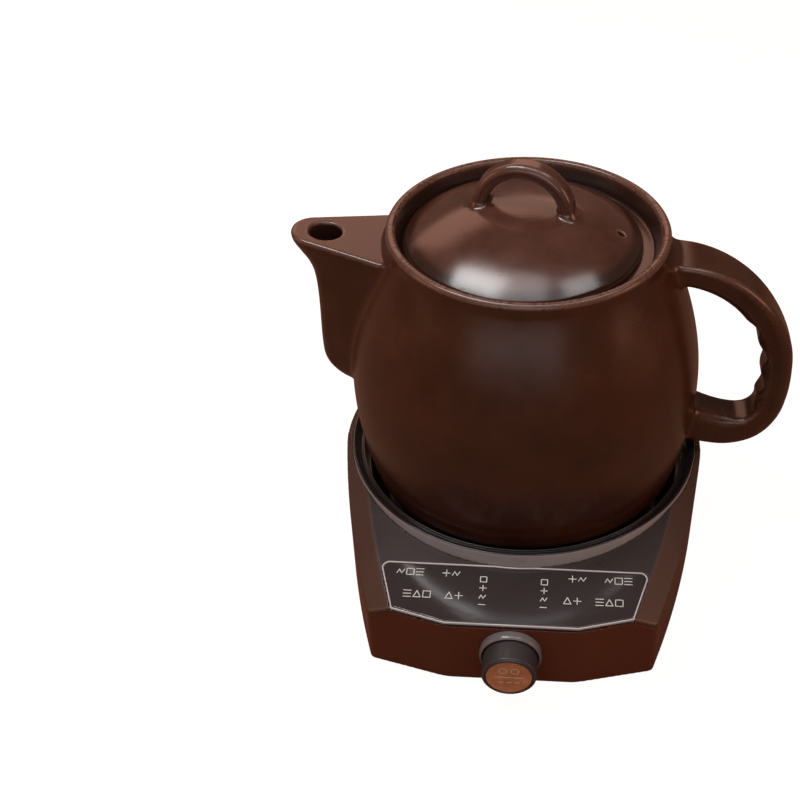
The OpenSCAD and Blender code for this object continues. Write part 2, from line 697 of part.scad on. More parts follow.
module bottom_cover() {
    color("#2a2526") place() difference() {
        union() {
            plan_solid(shell_t+0.2, foot_h, foot_h+2.5);
            for (s = [-1, 1]) translate([s*56, -104.5, foot_h+2.4]) cylinder(h = 8.55-foot_h-2.4, r = 3.4, $fn = 32);
        }
        for (i = [-6:6]) for (s = [-1, 1]) translate([i*9-1.8, 22+s*16-12, foot_h-1]) cube([3.6, 24, 6]);
        for (p = boss_xy) translate([p[0], p[1], foot_h-1]) {
            cylinder(h = 6, r = 2, $fn = 24);
            cylinder(h = 2.2, r = 4, $fn = 32);
        }
    }
}
module cover_screws() {
    color("silver") place() for (p = boss_xy) translate([p[0], p[1], foot_h+1.2]) {
        translate([0, 0, -1]) cylinder(h = 1, r = 3.6, $fn = 32);
        cylinder(h = 9, r = 1.4, $fn = 24);
    }
}
foot_xy = [[50, -118], [-50, -118], [66, 52], [-66, 52]];
module rubber_feet() {
    color("#1d1d1d") place() for (p = foot_xy) translate([p[0], p[1], 0]) {
        cylinder(h = foot_h, r = 9, $fn = 48);
    }
}

pot_body();
pot_spout();
pot_handle();
lid();
lid_loop();
housing_shell();
top_cover();
recess_ring();
panel_trim();
control_panel();
heat_shield();
heater_plate();
heater_element();
plate_posts();
post_screws();
sensor_cap();
sensor_spring();
sensor_holder();
thermostat();
thermal_fuse();
control_board();
light_guide();
digit_displays();
indicator_lamps();
board_screws();
encoder_body();
encoder_nut();
press_slider();
knob_shaft();
knob();
knob_disc();
knob_bezel();
power_board();
transformer();
relay();
capacitors();
mains_wires();
power_inlet();
inlet_pins();
inlet_screws();
bottom_cover();
cover_screws();
rubber_feet();
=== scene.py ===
"""Looks of an electric herbal decoction pot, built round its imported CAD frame.

Shapes are worked out in millimetres from the pot's upright axis and become metres
in the frame when a mesh is made. Solid forms are written as distance fields, which
lets glazed edges and joins be rounded, and are skinned into quads by skin().
"""

import math

import bmesh
import bpy
import numpy as np
from mathutils import Matrix, Vector


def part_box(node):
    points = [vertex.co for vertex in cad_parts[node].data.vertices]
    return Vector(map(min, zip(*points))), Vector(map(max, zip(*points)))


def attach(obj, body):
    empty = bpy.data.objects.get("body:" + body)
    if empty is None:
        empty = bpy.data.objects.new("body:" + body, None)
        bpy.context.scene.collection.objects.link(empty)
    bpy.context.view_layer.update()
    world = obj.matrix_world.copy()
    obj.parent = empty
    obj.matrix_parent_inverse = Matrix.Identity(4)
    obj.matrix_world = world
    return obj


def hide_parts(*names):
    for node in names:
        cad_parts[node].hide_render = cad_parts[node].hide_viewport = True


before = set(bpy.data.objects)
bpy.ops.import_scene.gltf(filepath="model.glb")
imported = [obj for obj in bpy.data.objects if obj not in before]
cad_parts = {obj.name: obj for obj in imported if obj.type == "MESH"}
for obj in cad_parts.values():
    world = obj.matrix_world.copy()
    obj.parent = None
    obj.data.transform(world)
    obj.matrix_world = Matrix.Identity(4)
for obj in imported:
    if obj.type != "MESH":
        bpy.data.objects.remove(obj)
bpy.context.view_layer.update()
MM = 0.001
plate_lo, plate_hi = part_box("heater_plate")
AXIS = np.array([(plate_lo[0] + plate_hi[0]) / 2, (plate_lo[1] + plate_hi[1]) / 2, 0.0])

# ---------------------------------------- sizes, mm
POT_R, BELLY_Z, POT_Z0, FOOT_R = 100.0, 112.0, 34.0, 64.0
RIM_Z, RIM_R, WALL, NECK_R, LEDGE_Z, LIP_R = 208.6, 76.8, 6.5, 61.5, 196.6, 2.6
SPOUT_REACH, SPOUT_HALF_W, SPOUT_TOP_Z, SPOUT_TILT, SPOUT_HOLE_R = 129.0, 27.0, 201.5, 6.0, 9.5
STRAP_HALF_W, STRAP_T, GROOVES, GROOVE_R = 15.0, 14.0, 4, 9.5
LID_R, DOME_H, LID_SIDE, LID_OFF, LOOP_R, LOOP_TURN, VENT_R = 65.0, 20.5, 3.2, 2.8, 23.7, -11.0, 1.9
BASE_R, SIDE_R, CORNER_X, CORNER_Y, FRONT_X, FRONT_Y = 107.5, 600.0, 78.5, 131.0, 36.0, 142.0
TOP_Z, DECK_Z, DECK_SLOPE, SHOULDER_DROP, SHOULDER_RISE = 61.0, 47.5, 0.145, 8.2, 0.68
SHELL_T, FOOT_H = 2.5, 3.0
RING_R, RING_Z, WELL_R = 103.9, 62.0, 96.5
KNOB_R, KNOB_Z, KNOB_FACE, BEZEL_R, INLET_Z = 14.7, 27.5, 160.0, 17.0, 16.5


# ---------------------------------------- curves
def bezier(p, n):
    """Points of a cubic curve through four control points, without its first."""
    t = (np.arange(1, n + 1) / n)[:, None]
    p = np.asarray(p, float)
    u = 1 - t
    return list(u**3 * p[0] + 3 * u * u * t * p[1] + 3 * u * t * t * p[2] + t**3 * p[3])


def through(rows, s):
    """Smooth values at places s counted in rows, the same rule as the solids use."""
    rows = np.asarray(rows, float)
    last = len(rows) - 1
    s = np.clip(s, 0, last)
    i = np.minimum(s.astype(int), last - 1)
    t = (s - i)[:, None]
    a, b = rows[np.maximum(i - 1, 0)], rows[i]
    c, d = rows[i + 1], rows[np.minimum(i + 2, last)]
    return b + 0.5 * t * ((c - a) + t * ((2 * a - 5 * b + 4 * c - d) + t * (3 * b - a - 3 * c + d)))


def polygon_distance(px, py, pts):
    """Distance from points to a closed outline, negative inside it."""
    pts = np.asarray(pts, float)
    best = np.full(px.shape, 1e9)
    inside = np.zeros(px.shape, bool)
    for (ax, ay), (bx, by) in zip(pts, np.roll(pts, -1, axis=0)):
        ex, ey = bx - ax, by - ay
        if ex * ex + ey * ey < 1e-12:
            continue
        t = np.clip(((px - ax) * ex + (py - ay) * ey) / (ex * ex + ey * ey), 0, 1)
        best = np.minimum(best, (px - ax - t * ex) ** 2 + (py - ay - t * ey) ** 2)
        if abs(ey) > 1e-12:
            inside ^= ((ay > py) != (by > py)) & (px < ax + (py - ay) * ex / ey)
    return np.where(inside, -1.0, 1.0) * np.sqrt(best)


class Chart:
    """A function of two lengths, worked out once on a grid and read between its points."""

    def __init__(self, function, lo, hi, step):
        self.lo, self.step = lo, step
        us = np.arange(lo[0], hi[0] + step, step)
        vs = np.arange(lo[1], hi[1] + step, step)
        self.size = (len(us), len(vs))
        values = function(*np.meshgrid(us, vs, indexing="ij"))
        self.grids = values if isinstance(values, tuple) else (values,)

    def __call__(self, u, v):
        a = np.clip((u - self.lo[0]) / self.step, 0, self.size[0] - 1.001)
        b = np.clip((v - self.lo[1]) / self.step, 0, self.size[1] - 1.001)
        i, j = a.astype(int), b.astype(int)
        a, b = a - i, b - j
        found = [
            (g[i, j] * (1 - a) + g[i + 1, j] * a) * (1 - b) + (g[i, j + 1] * (1 - a) + g[i + 1, j + 1] * a) * b
            for g in self.grids
        ]
        return found[0] if len(found) == 1 else found


# ---------------------------------------- fields
def join(a, b, k):
    """Union of two fields with a fillet of about k mm."""
    h = np.maximum(k - np.abs(a - b), 0) / k
    return np.minimum(a, b) - h * h * k / 4


def meet(a, b, k):
    """Intersection of two fields with an edge rounded over about k mm."""
    h = np.maximum(k - np.abs(a - b), 0) / k
    return np.maximum(a, b) + h * h * k / 4


def rounded_corner(a, b):
    """Distance from a corner whose two sides are a and b away."""
    return np.hypot(np.maximum(a, 0), np.maximum(b, 0)) + np.minimum(np.maximum(a, b), 0)


def tapered(u, v, r1, r2, length):
    """Flat shape round two circles: r1 at u = 0 and r2 at u = length."""
    v = np.abs(v)
    b = np.clip((r1 - r2) / length, -0.95, 0.95)
    a = np.sqrt(1 - b * b)
    k = a * u - b * v
    side = a * v + b * u - r1
    near = np.hypot(u, v) - r1
    far = np.hypot(u - length, v) - r2
    return np.where(k < 0, near, np.where(k > a * length, far, side))


# Cells along each side of a block, and blocks worked out at a time
BLOCK, BATCH = 8, 400
# How far apart a field is read to find its slope, and how often points settle on it
PROBE_STEP, SETTLE_ROUNDS = 0.25, 3


def skin(name, field, lo, hi, cell, body):
    """Makes the surface where field is 0 inside a box, as one smooth quad mesh."""
    lo = np.asarray(lo, float)
    n = np.ceil((np.asarray(hi, float) - lo) / cell).astype(int) + 2
    nb = -(-n // BLOCK)
    n = nb * BLOCK
    values = np.full(n + 1, 1e3, np.float32)
    centres = [lo[k] + (np.arange(nb[k]) + 0.5) * BLOCK * cell for k in range(3)]
    cx, cy, cz = np.meshgrid(*centres, indexing="ij")
    coarse = field(cx.ravel(), cy.ravel(), cz.ravel()).reshape(nb)
    near = np.argwhere(np.abs(coarse) < BLOCK * cell * 1.15)
    far_inside = np.argwhere(coarse < 0)
    for b in far_inside:
        s = b * BLOCK
        e = s + BLOCK + 1
        values[s[0] : e[0], s[1] : e[1], s[2] : e[2]] = -1e3
    steps = np.arange(BLOCK + 1)
    for first in range(0, len(near), BATCH):
        some = near[first : first + BATCH] * BLOCK
        gx = some[:, 0, None, None, None] + steps[None, :, None, None]
        gy = some[:, 1, None, None, None] + steps[None, None, :, None]
        gz = some[:, 2, None, None, None] + steps[None, None, None, :]
        gx, gy, gz = np.broadcast_arrays(gx, gy, gz)
        found = field(lo[0] + gx.ravel() * cell, lo[1] + gy.ravel() * cell, lo[2] + gz.ravel() * cell)
        values[gx.ravel(), gy.ravel(), gz.ravel()] = found
    inside = values < 0

    # One point in each cell that the surface crosses, at the mean of its crossings
    count = np.zeros(n, np.int16)
    total = np.zeros((*n, 3), np.float32)
    for axis in range(3):
        one = [slice(None)] * 3
        two = [slice(None)] * 3
        one[axis], two[axis] = slice(0, -1), slice(1, None)
        va, vb = values[tuple(one)], values[tuple(two)]
        cross = np.argwhere((va < 0) != (vb < 0))
        a = va[tuple(cross.T)]
        b = vb[tuple(cross.T)]
        at = cross.astype(np.float32)
        at[:, axis] += np.clip(a / (a - b), 0, 1)
        others = [k for k in range(3) if k != axis]
        for d0 in (0, 1):
            for d1 in (0, 1):
                owner = cross.copy()
                owner[:, others[0]] -= d0
                owner[:, others[1]] -= d1
                ok = ((owner >= 0) & (owner < n)).all(axis=1)
                index = tuple(owner[ok].T)
                np.add.at(count, index, 1)
                np.add.at(total, index, at[ok])
    used = count > 0
    number = np.full(n, -1, np.int64)
    number[used] = np.arange(used.sum())
    points = lo + cell * (total[used] / count[used][:, None]).astype(float)

    faces = []
    for axis in range(3):
        one = [slice(1, -1)] * 3
        two = [slice(1, -1)] * 3
        one[axis], two[axis] = slice(0, -1), slice(1, None)
        a_in, b_in = inside[tuple(one)], inside[tuple(two)]
        base = np.argwhere(a_in != b_in)
        outward = a_in[tuple(base.T)]
        o0, o1 = [k for k in range(3) if k != axis]
        base = base + np.array([0 if k == axis else 1 for k in range(3)])
        corners = []
        for d0, d1 in ((0, 0), (1, 0), (1, 1), (0, 1)):
            c = base.copy()
            c[:, o0] -= d0
            c[:, o1] -= d1
            corners.append(number[tuple(c.T)])
        quad = np.stack(corners, axis=1)
        flip = outward if axis != 1 else ~outward
        quad = np.where(flip[:, None], quad, quad[:, ::-1])
        faces.append(quad)
    faces = np.concatenate(faces)
    faces = faces[(faces >= 0).all(axis=1)]

    # Points settle on the field's own surface
    for _ in range(SETTLE_ROUNDS):
        value, slope, _ = probe(field, points, PROBE_STEP)
        size = np.maximum((slope**2).sum(axis=1), 0.05)
        move = np.clip(-value / size, -0.35 * cell, 0.35 * cell)
        points = points + slope * move[:, None]
    _, slope, bend = probe(field, points, PROBE_STEP)
    normals = slope / np.maximum(np.linalg.norm(slope, axis=1, keepdims=True), 1e-6)

    return piece(name, points, faces, body, normals, np.clip(bend, -1, 1))


def probe(field, points, h):
    """Value, slope and bend of a field at points."""
    x, y, z = points.T
    value = field(x, y, z)
    px, mx = field(x + h, y, z), field(x - h, y, z)
    py, my = field(x, y + h, z), field(x, y - h, z)
    pz, mz = field(x, y, z + h), field(x, y, z - h)
    slope = np.stack([px - mx, py - my, pz - mz], axis=1) / (2 * h)
    return value, slope, (px + mx + py + my + pz + mz - 6 * value) / (h * h)


def piece(name, points, faces, body, normals=None, bend=None):
    """A mesh object riding on a body, from points in mm about the pot's axis."""
    mesh = bpy.data.meshes.new(name)
    points = np.asarray(points, float) * MM + AXIS
    if isinstance(faces, np.ndarray):
        mesh.vertices.add(len(points))
        mesh.vertices.foreach_set("co", points.ravel())
        mesh.loops.add(faces.size)
        mesh.loops.foreach_set("vertex_index", faces.ravel().astype(np.int32))
        mesh.polygons.add(len(faces))
        mesh.polygons.foreach_set("loop_start", np.arange(0, faces.size, faces.shape[1], dtype=np.int32))
        mesh.update(calc_edges=True)
        mesh.validate()
    else:
        mesh.from_pydata([tuple(p) for p in points], [], faces)
    mesh.polygons.foreach_set("use_smooth", np.ones(len(mesh.polygons), bool))
    if bend is not None:
        edge = mesh.attributes.new("edge", "FLOAT", "POINT")
        edge.data.foreach_set("value", bend.astype(np.float32))
    if normals is not None and len(normals) == len(mesh.vertices):
        mesh.normals_split_custom_set_from_vertices(normals.tolist())
    obj = bpy.data.objects.new(name, mesh)
    bpy.context.scene.collection.objects.link(obj)
    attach(obj, body)
    return obj


# ---------------------------------------- pot
def pot_outlines():
    """Outer outline with the lip, and the hollow inside it, as closed outlines in r and z."""
    outer = [(-20, POT_Z0), (FOOT_R, POT_Z0)]
    outer += bezier([(FOOT_R, POT_Z0), (FOOT_R + 15, POT_Z0), (POT_R - 10, POT_Z0 + 12), (POT_R - 7, POT_Z0 + 26)], 12)
    outer += bezier([(POT_R - 7, POT_Z0 + 26), (POT_R - 3.5, POT_Z0 + 39), (POT_R, BELLY_Z - 20), (POT_R, BELLY_Z)], 12)
    shoulder = (RIM_R + 6.7, RIM_Z - 28.6)
    outer += bezier([(POT_R, BELLY_Z), (POT_R, BELLY_Z + 40), shoulder, (RIM_R + 0.4, RIM_Z - 8)], 24)
    turns = np.radians(np.arange(0, 181, 12))
    lip = [(RIM_R - LIP_R + LIP_R * math.cos(a), RIM_Z - LIP_R + LIP_R * math.sin(a)) for a in turns]
    in_r = POT_R - WALL
    hollow = [(RIM_R - 8, LEDGE_Z + 1), (RIM_R - 8.8, LEDGE_Z), (NECK_R, LEDGE_Z), (NECK_R, LEDGE_Z - 7.6)]
    hollow += bezier([(NECK_R, LEDGE_Z - 7.6), (NECK_R + 14, LEDGE_Z - 16), (in_r, BELLY_Z + 36), (in_r, BELLY_Z)], 20)
    floor_z = POT_Z0 + WALL + 0.5
    hollow += bezier([(in_r, BELLY_Z), (in_r, BELLY_Z - 34), (in_r - 4, floor_z + 0.5), (FOOT_R - 6, floor_z)], 20)
    hollow += [(-20, floor_z)]
    wall = outer + lip + hollow
    inside = [lip[-1]] + hollow + [(-20, RIM_Z + 30), (lip[-1][0], RIM_Z + 30)]
    return wall, inside


wall_outline, inside_outline = pot_outlines()
profile_lo, profile_hi = (-2, POT_Z0 - 6), (POT_R + 60, RIM_Z + 8)
wall_chart = Chart(lambda r, z: polygon_distance(r, z, wall_outline), profile_lo, profile_hi, 0.5)
inside_chart = Chart(lambda r, z: polygon_distance(r, z, inside_outline), profile_lo, profile_hi, 0.5)

# Spout: height, reach back, nose radius, extra half width at the wall
SPOUT_ROWS = [
    (208, 0, 14, 0), (204, 0, 14, 0), (197, 0.3, 14, 0), (190, 4.2, 12.5, 0), (183, 8.2, 11.5, 0), (174, 10.7, 10.5, 0),
    (158, 11.6, 10, 1), (128, 11.2, 10, 1), (116, 12.5, 9.5, -1), (108, 18, 9, -4), (102, 27, 8, -8), (94, 42, 7, -12),
]
# Where the spout's sides meet the wall, and the height it ends at inside the wall
SPOUT_ROOT_X, SPOUT_LOW_Z = 72.0, 92.0


def spout_table():
    """The rows above as smooth curves, from the lowest height up."""
    s = np.linspace(0, len(SPOUT_ROWS) - 1, 220)
    rows = through(SPOUT_ROWS, s)
    return rows[np.argsort(rows[:, 0])]


spout_rows = spout_table()


def spout_field(x, y, z):
    """Solid spout with its sloping flat top."""
    reach, nose, extra = (np.interp(z, spout_rows[:, 0], spout_rows[:, k]) for k in (1, 2, 3))
    centre = -SPOUT_REACH + reach + nose
    body = tapered(x - centre, y, nose, SPOUT_HALF_W + extra, -SPOUT_ROOT_X - centre)
    tilt = math.radians(SPOUT_TILT)
    top = (z - SPOUT_TOP_Z) * math.cos(tilt) + (x + SPOUT_REACH) * math.sin(tilt)
    return np.maximum(meet(body * 0.93, top, 2.6), SPOUT_LOW_Z - z)


# Channel: middle, radius, its ends, where it widens to the hole, and the slot to the strainer
CHANNEL_X, CHANNEL_R, CHANNEL_LOW_Z, CHANNEL_MOUTH_Z = -106.0, 6.5, 116.0, 207.0
WIDEN_Z, WIDEN_X = 176.0, 6.0
SLOT_TOP_Z, SLOT_END_R, SLOT_LENGTH = 164.0, 11.0, 23.0


def channel_field(x, y, z):
    """Pouring hole, the channel under it, and its slot to the strainer holes."""
    t = np.clip((z - WIDEN_Z) / (CHANNEL_MOUTH_Z - WIDEN_Z), 0, 1)
    radius = CHANNEL_R + (SPOUT_HOLE_R - CHANNEL_R) * t
    bore = np.hypot(x - (CHANNEL_X - WIDEN_X * t), y) - radius
    bore = np.maximum(bore, CHANNEL_LOW_Z - z)
    slot = tapered(x - CHANNEL_X, y, CHANNEL_R, SLOT_END_R, SLOT_LENGTH)
    slot = np.maximum(slot, np.maximum(CHANNEL_LOW_Z - z, z - SLOT_TOP_Z))
    return np.minimum(bore, slot)


# Handle: x, z, tilt of the strap, half-width factor, thickness factor
HANDLE_ROWS = [
    (74, 188, 8, 1, 1), (90, 186.5, 14, 1, 1), (104, 182, 24, 0.97, 1.03), (117, 174, 36, 0.92, 1.08),
    (128, 163, 48, 0.86, 1.14), (137, 149, 62, 0.78, 1.2), (142.6, 134, 74, 0.7, 1.26), (144.6, 118, 85, 0.66, 1.28),
    (144.2, 103, 96, 0.66, 1.3), (141, 90, 112, 0.68, 1.34), (133, 80.6, 135, 0.72, 1.44), (121, 77.2, 165, 0.76, 1.54),
    (108, 79, 190, 0.8, 1.6), (92, 84, 198, 0.86, 1.7),
]
HANDLE_STEPS = 130
# Reach of the handle's chart: lowest and highest x and z
HANDLE_LO, HANDLE_HI = (66, 60), (164, 206)
handle_path = through(HANDLE_ROWS, np.linspace(0, len(HANDLE_ROWS) - 1, HANDLE_STEPS + 1))


def handle_chart_values(x, z):
    """Offset from the strap's middle line, and how far along it, for each place in its plane."""
    best = np.full(x.shape, 1e9)
    along = np.zeros(x.shape)
    side = np.zeros(x.shape)
    for i, (a, b) in enumerate(zip(handle_path, handle_path[1:])):
        ex, ez = b[0] - a[0], b[1] - a[1]
        t = np.clip(((x - a[0]) * ex + (z - a[1]) * ez) / (ex * ex + ez * ez), 0, 1)
        dx, dz = x - a[0] - t * ex, z - a[1] - t * ez
        d = dx * dx + dz * dz
        closer = d < best
        best = np.where(closer, d, best)
        along = np.where(closer, i + t, along)
        side = np.where(closer, np.sign(ex * dz - ez * dx), side)
    return side * np.sqrt(best), along


handle_chart = Chart(handle_chart_values, HANDLE_LO, HANDLE_HI, 0.5)


def handle_field(x, y, z):
    """Strap handle with its finger grooves."""
    v, along = handle_chart(x, z)
    width = STRAP_HALF_W * np.interp(along, np.arange(HANDLE_STEPS + 1), handle_path[:, 3])
    thick = STRAP_T / 2 * np.interp(along, np.arange(HANDLE_STEPS + 1), handle_path[:, 4])
    soft = 2.4 + 5.1 * np.clip((STRAP_HALF_W - width) / (0.34 * STRAP_HALF_W), 0, 1)
    radius = np.minimum(np.where(v > 0, soft, 6.0), np.minimum(thick, width) - 0.2)
    qy, qv = np.abs(y) - (width - radius), np.abs(v) - (thick - radius)
    strap = rounded_corner(qy, qv) - radius
    # The strap is far away wherever the chart doesn't reach
    away = np.maximum(
        np.maximum(HANDLE_LO[0] - x, x - HANDLE_HI[0]), np.maximum(HANDLE_LO[1] - z, z - HANDLE_HI[1])
    )
    strap = np.maximum(strap, away)
    for i in range(GROOVES):
        row = through(HANDLE_ROWS, np.array([4.5 + i * 4.5 / (GROOVES - 1)]))[0]
        tilt = math.radians(row[2])
        reach = STRAP_T * row[4] / 2 + GROOVE_R - 2.6
        groove_x, groove_z = row[0] - reach * math.sin(tilt), row[1] - reach * math.cos(tilt)
        groove = np.hypot(x - groove_x, z - groove_z) - GROOVE_R
        strap = meet(strap, -groove, 2.0)
    return strap


# Strainer holes: rows, height of the lowest above the belly, pitch up and across, radius
STRAINER_ROWS, STRAINER_LOW, STRAINER_UP, STRAINER_ACROSS, STRAINER_R = 4, 12, 11, 9, 2.5


def pot_field(x, y, z):
    """Pot, spout and handle as one ceramic piece, with its hollow and its holes."""
    r = np.hypot(x, y)
    shape = wall_chart(r, z)
    # Beyond the chart the wall's distance grows with the radius
    shape = shape + np.maximum(r - profile_hi[0], 0)
    shape = join(shape, spout_field(x, y, z), 3.0)
    shape = join(shape, handle_field(x, y, z), 5.0)
    shape = np.maximum(shape, -inside_chart(r, z))
    shape = meet(shape, -channel_field(x, y, z), 1.6)
    for row in range(STRAINER_ROWS):
        for k in (-1, 0, 1):
            hole_z = BELLY_Z + STRAINER_LOW + row * STRAINER_UP
            hole = np.hypot(y - k * STRAINER_ACROSS, z - hole_z) - STRAINER_R
            hole = np.maximum(hole, np.maximum(x + 70, -POT_R - 3 - x))
            shape = np.maximum(shape, -hole)
    return shape


# ---------------------------------------- lid
LID_Z = LEDGE_Z + 0.15
DOME_TOP = LID_Z + LID_SIDE + DOME_H
DOME_SPHERE = (LID_R**2 + DOME_H**2) / (2 * DOME_H)
LOOP_Z = 217.3
# Loop's strap: half its thickness and width, and its rounding; the place of the steam vent
ARCH_HALF_T, ARCH_HALF_W, ARCH_ROUND = 4.1, 6.3, 3.6
LEG_DEPTH, FOOT_TOP, LID_FOOT_R = 11.0, 2.6, 4.9
VENT_X, VENT_Y = 52.3, -5.0


def dome_height(r):
    """Height of the lid's round outside."""
    return DOME_TOP - DOME_SPHERE + np.sqrt(np.maximum(DOME_SPHERE**2 - np.asarray(r, float) ** 2, 1))


def lid_outline():
    """Round top, edge, skirt and hollow underside as one closed outline in r and z."""
    r_top = (LID_R - 1.6) * np.sin(np.radians(np.arange(0, 91, 2.5)))
    top = list(zip(r_top, dome_height(r_top)))
    r_under = np.linspace(LID_R - 12, 0, 24)
    under = list(zip(r_under, dome_height(r_under * 1.08) - 5))
    edge = [
        (LID_R - 0.9, LID_Z + 3.1), (LID_R - 0.3, LID_Z + 2.5), (LID_R, LID_Z + 1.7), (LID_R, LID_Z + 0.5),
        (LID_R - 0.5, LID_Z), (NECK_R - 4.6, LID_Z), (NECK_R - 4.8, LID_Z - 6), (LID_R - 12, LID_Z - 6),
    ]
    return [(-20, DOME_TOP)] + top + edge + under + [(-20, under[-1][1])]


lid_lo, lid_hi = (-2, LID_Z - 12), (LID_R + 12, LOOP_Z + 40)
lid_chart = Chart(lambda r, z: polygon_distance(r, z, lid_outline()), lid_lo, lid_hi, 0.4)


def lid_field(x, y, z):
    """Lid with its loop and vent, a little off the pot's axis."""
    x, y = x + LID_OFF, y - LID_OFF / 2
    cap = lid_chart(np.hypot(x, y), z)
    turn = math.radians(LOOP_TURN)
    along = x * math.cos(turn) + y * math.sin(turn)
    across = -x * math.sin(turn) + y * math.cos(turn)
    # Arch: a rounded strap bent round a level axis, standing on two flared feet
    up = z - LOOP_Z
    ring = np.hypot(along, up) - LOOP_R
    leg = np.abs(along) - LOOP_R
    off = np.where(up > 0, ring, leg)
    qv, qw = np.abs(off) - (ARCH_HALF_T - ARCH_ROUND), np.abs(across) - (ARCH_HALF_W - ARCH_ROUND)
    arch = rounded_corner(qv, qw) - ARCH_ROUND
    arch = np.maximum(arch, -up - LEG_DEPTH)
    flare = np.clip(3.0 - up, 0, 5) * 0.5
    foot = np.hypot(np.abs(along) - LOOP_R - 0.3, across / 1.25) - (LID_FOOT_R + flare)
    foot = meet(foot, up - FOOT_TOP, 1.5)
    foot = np.maximum(foot, -up - LEG_DEPTH)
    arch = join(arch, foot, 2.0)
    under = z - (dome_height(np.hypot(x, y)) - 2.5)
    arch = np.maximum(arch, -under)
    shape = join(cap, arch, 2.2)
    vent = np.hypot(x - VENT_X, y - VENT_Y) - VENT_R
    vent = np.maximum(vent, LID_Z - 2 - z)
    return meet(shape, -vent, 1.2)


# ---------------------------------------- base
corner_d = math.hypot(CORNER_X, CORNER_Y)
side_cos = (BASE_R * (2 * SIDE_R - BASE_R) - corner_d**2) / (2 * (SIDE_R - BASE_R) * corner_d)
SIDE_A = math.atan2(CORNER_Y, CORNER_X) - math.acos(side_cos)
SIDE_C = (-(SIDE_R - BASE_R) * math.cos(SIDE_A), (SIDE_R - BASE_R) * math.sin(SIDE_A))
FACET_A = math.atan2(FRONT_Y - CORNER_Y, CORNER_X - FRONT_X)
DECK_A = math.atan(DECK_SLOPE)
# Heights of the shoulders' front corner and of the back bevel, and the bevel's slope
EDGE_Z = DECK_Z - SHOULDER_DROP + DECK_SLOPE * (FRONT_Y - CORNER_Y) + 0.2
BACK_EDGE_Z = TOP_Z - 2.6
BACK_SLOPE = 0.6


def front_distance(x, y):
    """Distance in front of the three front faces."""
    middle = -y - FRONT_Y
    outer = (np.abs(x) - FRONT_X) * math.sin(FACET_A) + (-y - FRONT_Y) * math.cos(FACET_A)
    return meet(middle, outer, 1.2)


def plan_distance(x, y):
    """Distance outside the round back and the long curved sides."""
    side = np.hypot(np.abs(x) - SIDE_C[0], y - SIDE_C[1]) - SIDE_R
    back = np.hypot(x, y) - BASE_R
    below = y * math.cos(SIDE_A) < -np.abs(x) * math.sin(SIDE_A)
    return np.where(below, side, back)


def above_deck(y, z):
    """Height above the sloping deck, square to it."""
    return (z - DECK_Z) * math.cos(DECK_A) - (y + FRONT_Y) * math.sin(DECK_A)


def deck_distance(y, z):
    """Distance above the sloping deck and the flat top behind it."""
    return meet(above_deck(y, z), z - TOP_Z, 1.0)


def bevel_distance(x, y, z):
    """Distance above the sloping shoulders and the back bevel."""
    yy = (y + CORNER_Y) * math.cos(DECK_A) + (z - EDGE_Z) * math.sin(DECK_A)
    zz = -(y + CORNER_Y) * math.sin(DECK_A) + (z - EDGE_Z) * math.cos(DECK_A)
    out = np.hypot(np.abs(x) - SIDE_C[0], yy - (SIDE_C[1] + CORNER_Y)) - SIDE_R
    shoulder = (out * SHOULDER_RISE + zz) / math.hypot(1, SHOULDER_RISE)
    back = ((np.hypot(x, y) - BASE_R) * BACK_SLOPE + z - BACK_EDGE_Z) / math.hypot(1, BACK_SLOPE)
    back = np.where(y > -5, back, -50.0)
    return meet(shoulder, back, 0.9)


def top_distance(x, y, z):
    """Distance above everything that forms the top of the base."""
    return meet(deck_distance(y, z), bevel_distance(x, y, z), 0.9)


def shell_field(x, y, z):
    """The base as a hollow shell, with the distances to its front faces and its top."""
    plan = plan_distance(x, y)
    front = front_distance(x, y)
    top = top_distance(x, y, z)
    wall = meet(plan, front, 2.0)
    outer = meet(meet(wall, top, 1.1), FOOT_H - z, 1.0)
    inner = np.maximum(np.maximum(wall, top) + SHELL_T, FOOT_H - 5 - z)
    return np.maximum(outer, -inner), front, top


# The seam between housing and cover: its drop, half its width and the lap behind it
SEAM_DROP, SEAM_HALF, FRONT_LAP = 1.8, 0.12, 2.35


def seam_distance(y, z):
    """Distance above the seam."""
    line = np.minimum(EDGE_Z + (y + CORNER_Y) * DECK_SLOPE, BACK_EDGE_Z) - SEAM_DROP
    return (z - line) * math.cos(DECK_A)


# Hole of the knob's shaft, and half sizes of the mains inlet's opening
SHAFT_HOLE_R, INLET_HALF_X, INLET_HALF_Z = 3.6, 14.2, 10.2


def housing_field(x, y, z):
    """Side wall of the base up to the seam."""
    shell, front, top = shell_field(x, y, z)
    above = seam_distance(y, z)
    strip = np.maximum(-(front + SHELL_T), top + FRONT_LAP)
    keep = np.minimum(above + SEAM_HALF, strip)
    shape = meet(shell, keep, 0.5)
    hole = np.hypot(x, z - KNOB_Z) - SHAFT_HOLE_R
    shape = np.maximum(shape, -np.maximum(hole, y + FRONT_Y - 8))
    inlet = np.maximum(np.abs(x) - INLET_HALF_X, np.abs(z - INLET_Z) - INLET_HALF_Z)
    return np.maximum(shape, -np.maximum(inlet, BASE_R - 8 - y))


def cover_field(x, y, z):
    """Deck and shoulders above the seam, with the round well and the panel's pocket."""
    shell, front, top = shell_field(x, y, z)
    above = seam_distance(y, z)
    strip = np.maximum(-(front + SHELL_T + 0.05), top + FRONT_LAP - 0.15)
    shape = meet(shell, -(above - SEAM_HALF), 0.5)
    shape = meet(shape, -strip, 0.3)
    well = RING_R + 0.1 - np.hypot(x, y)
    shape = np.maximum(shape, well)
    up_slope = (y + FRONT_Y) / math.cos(DECK_A)
    pocket = np.maximum(panel_chart(x, up_slope) + 0.3, -(above_deck(y, z) + 1.2))
    return np.maximum(shape, -pocket)


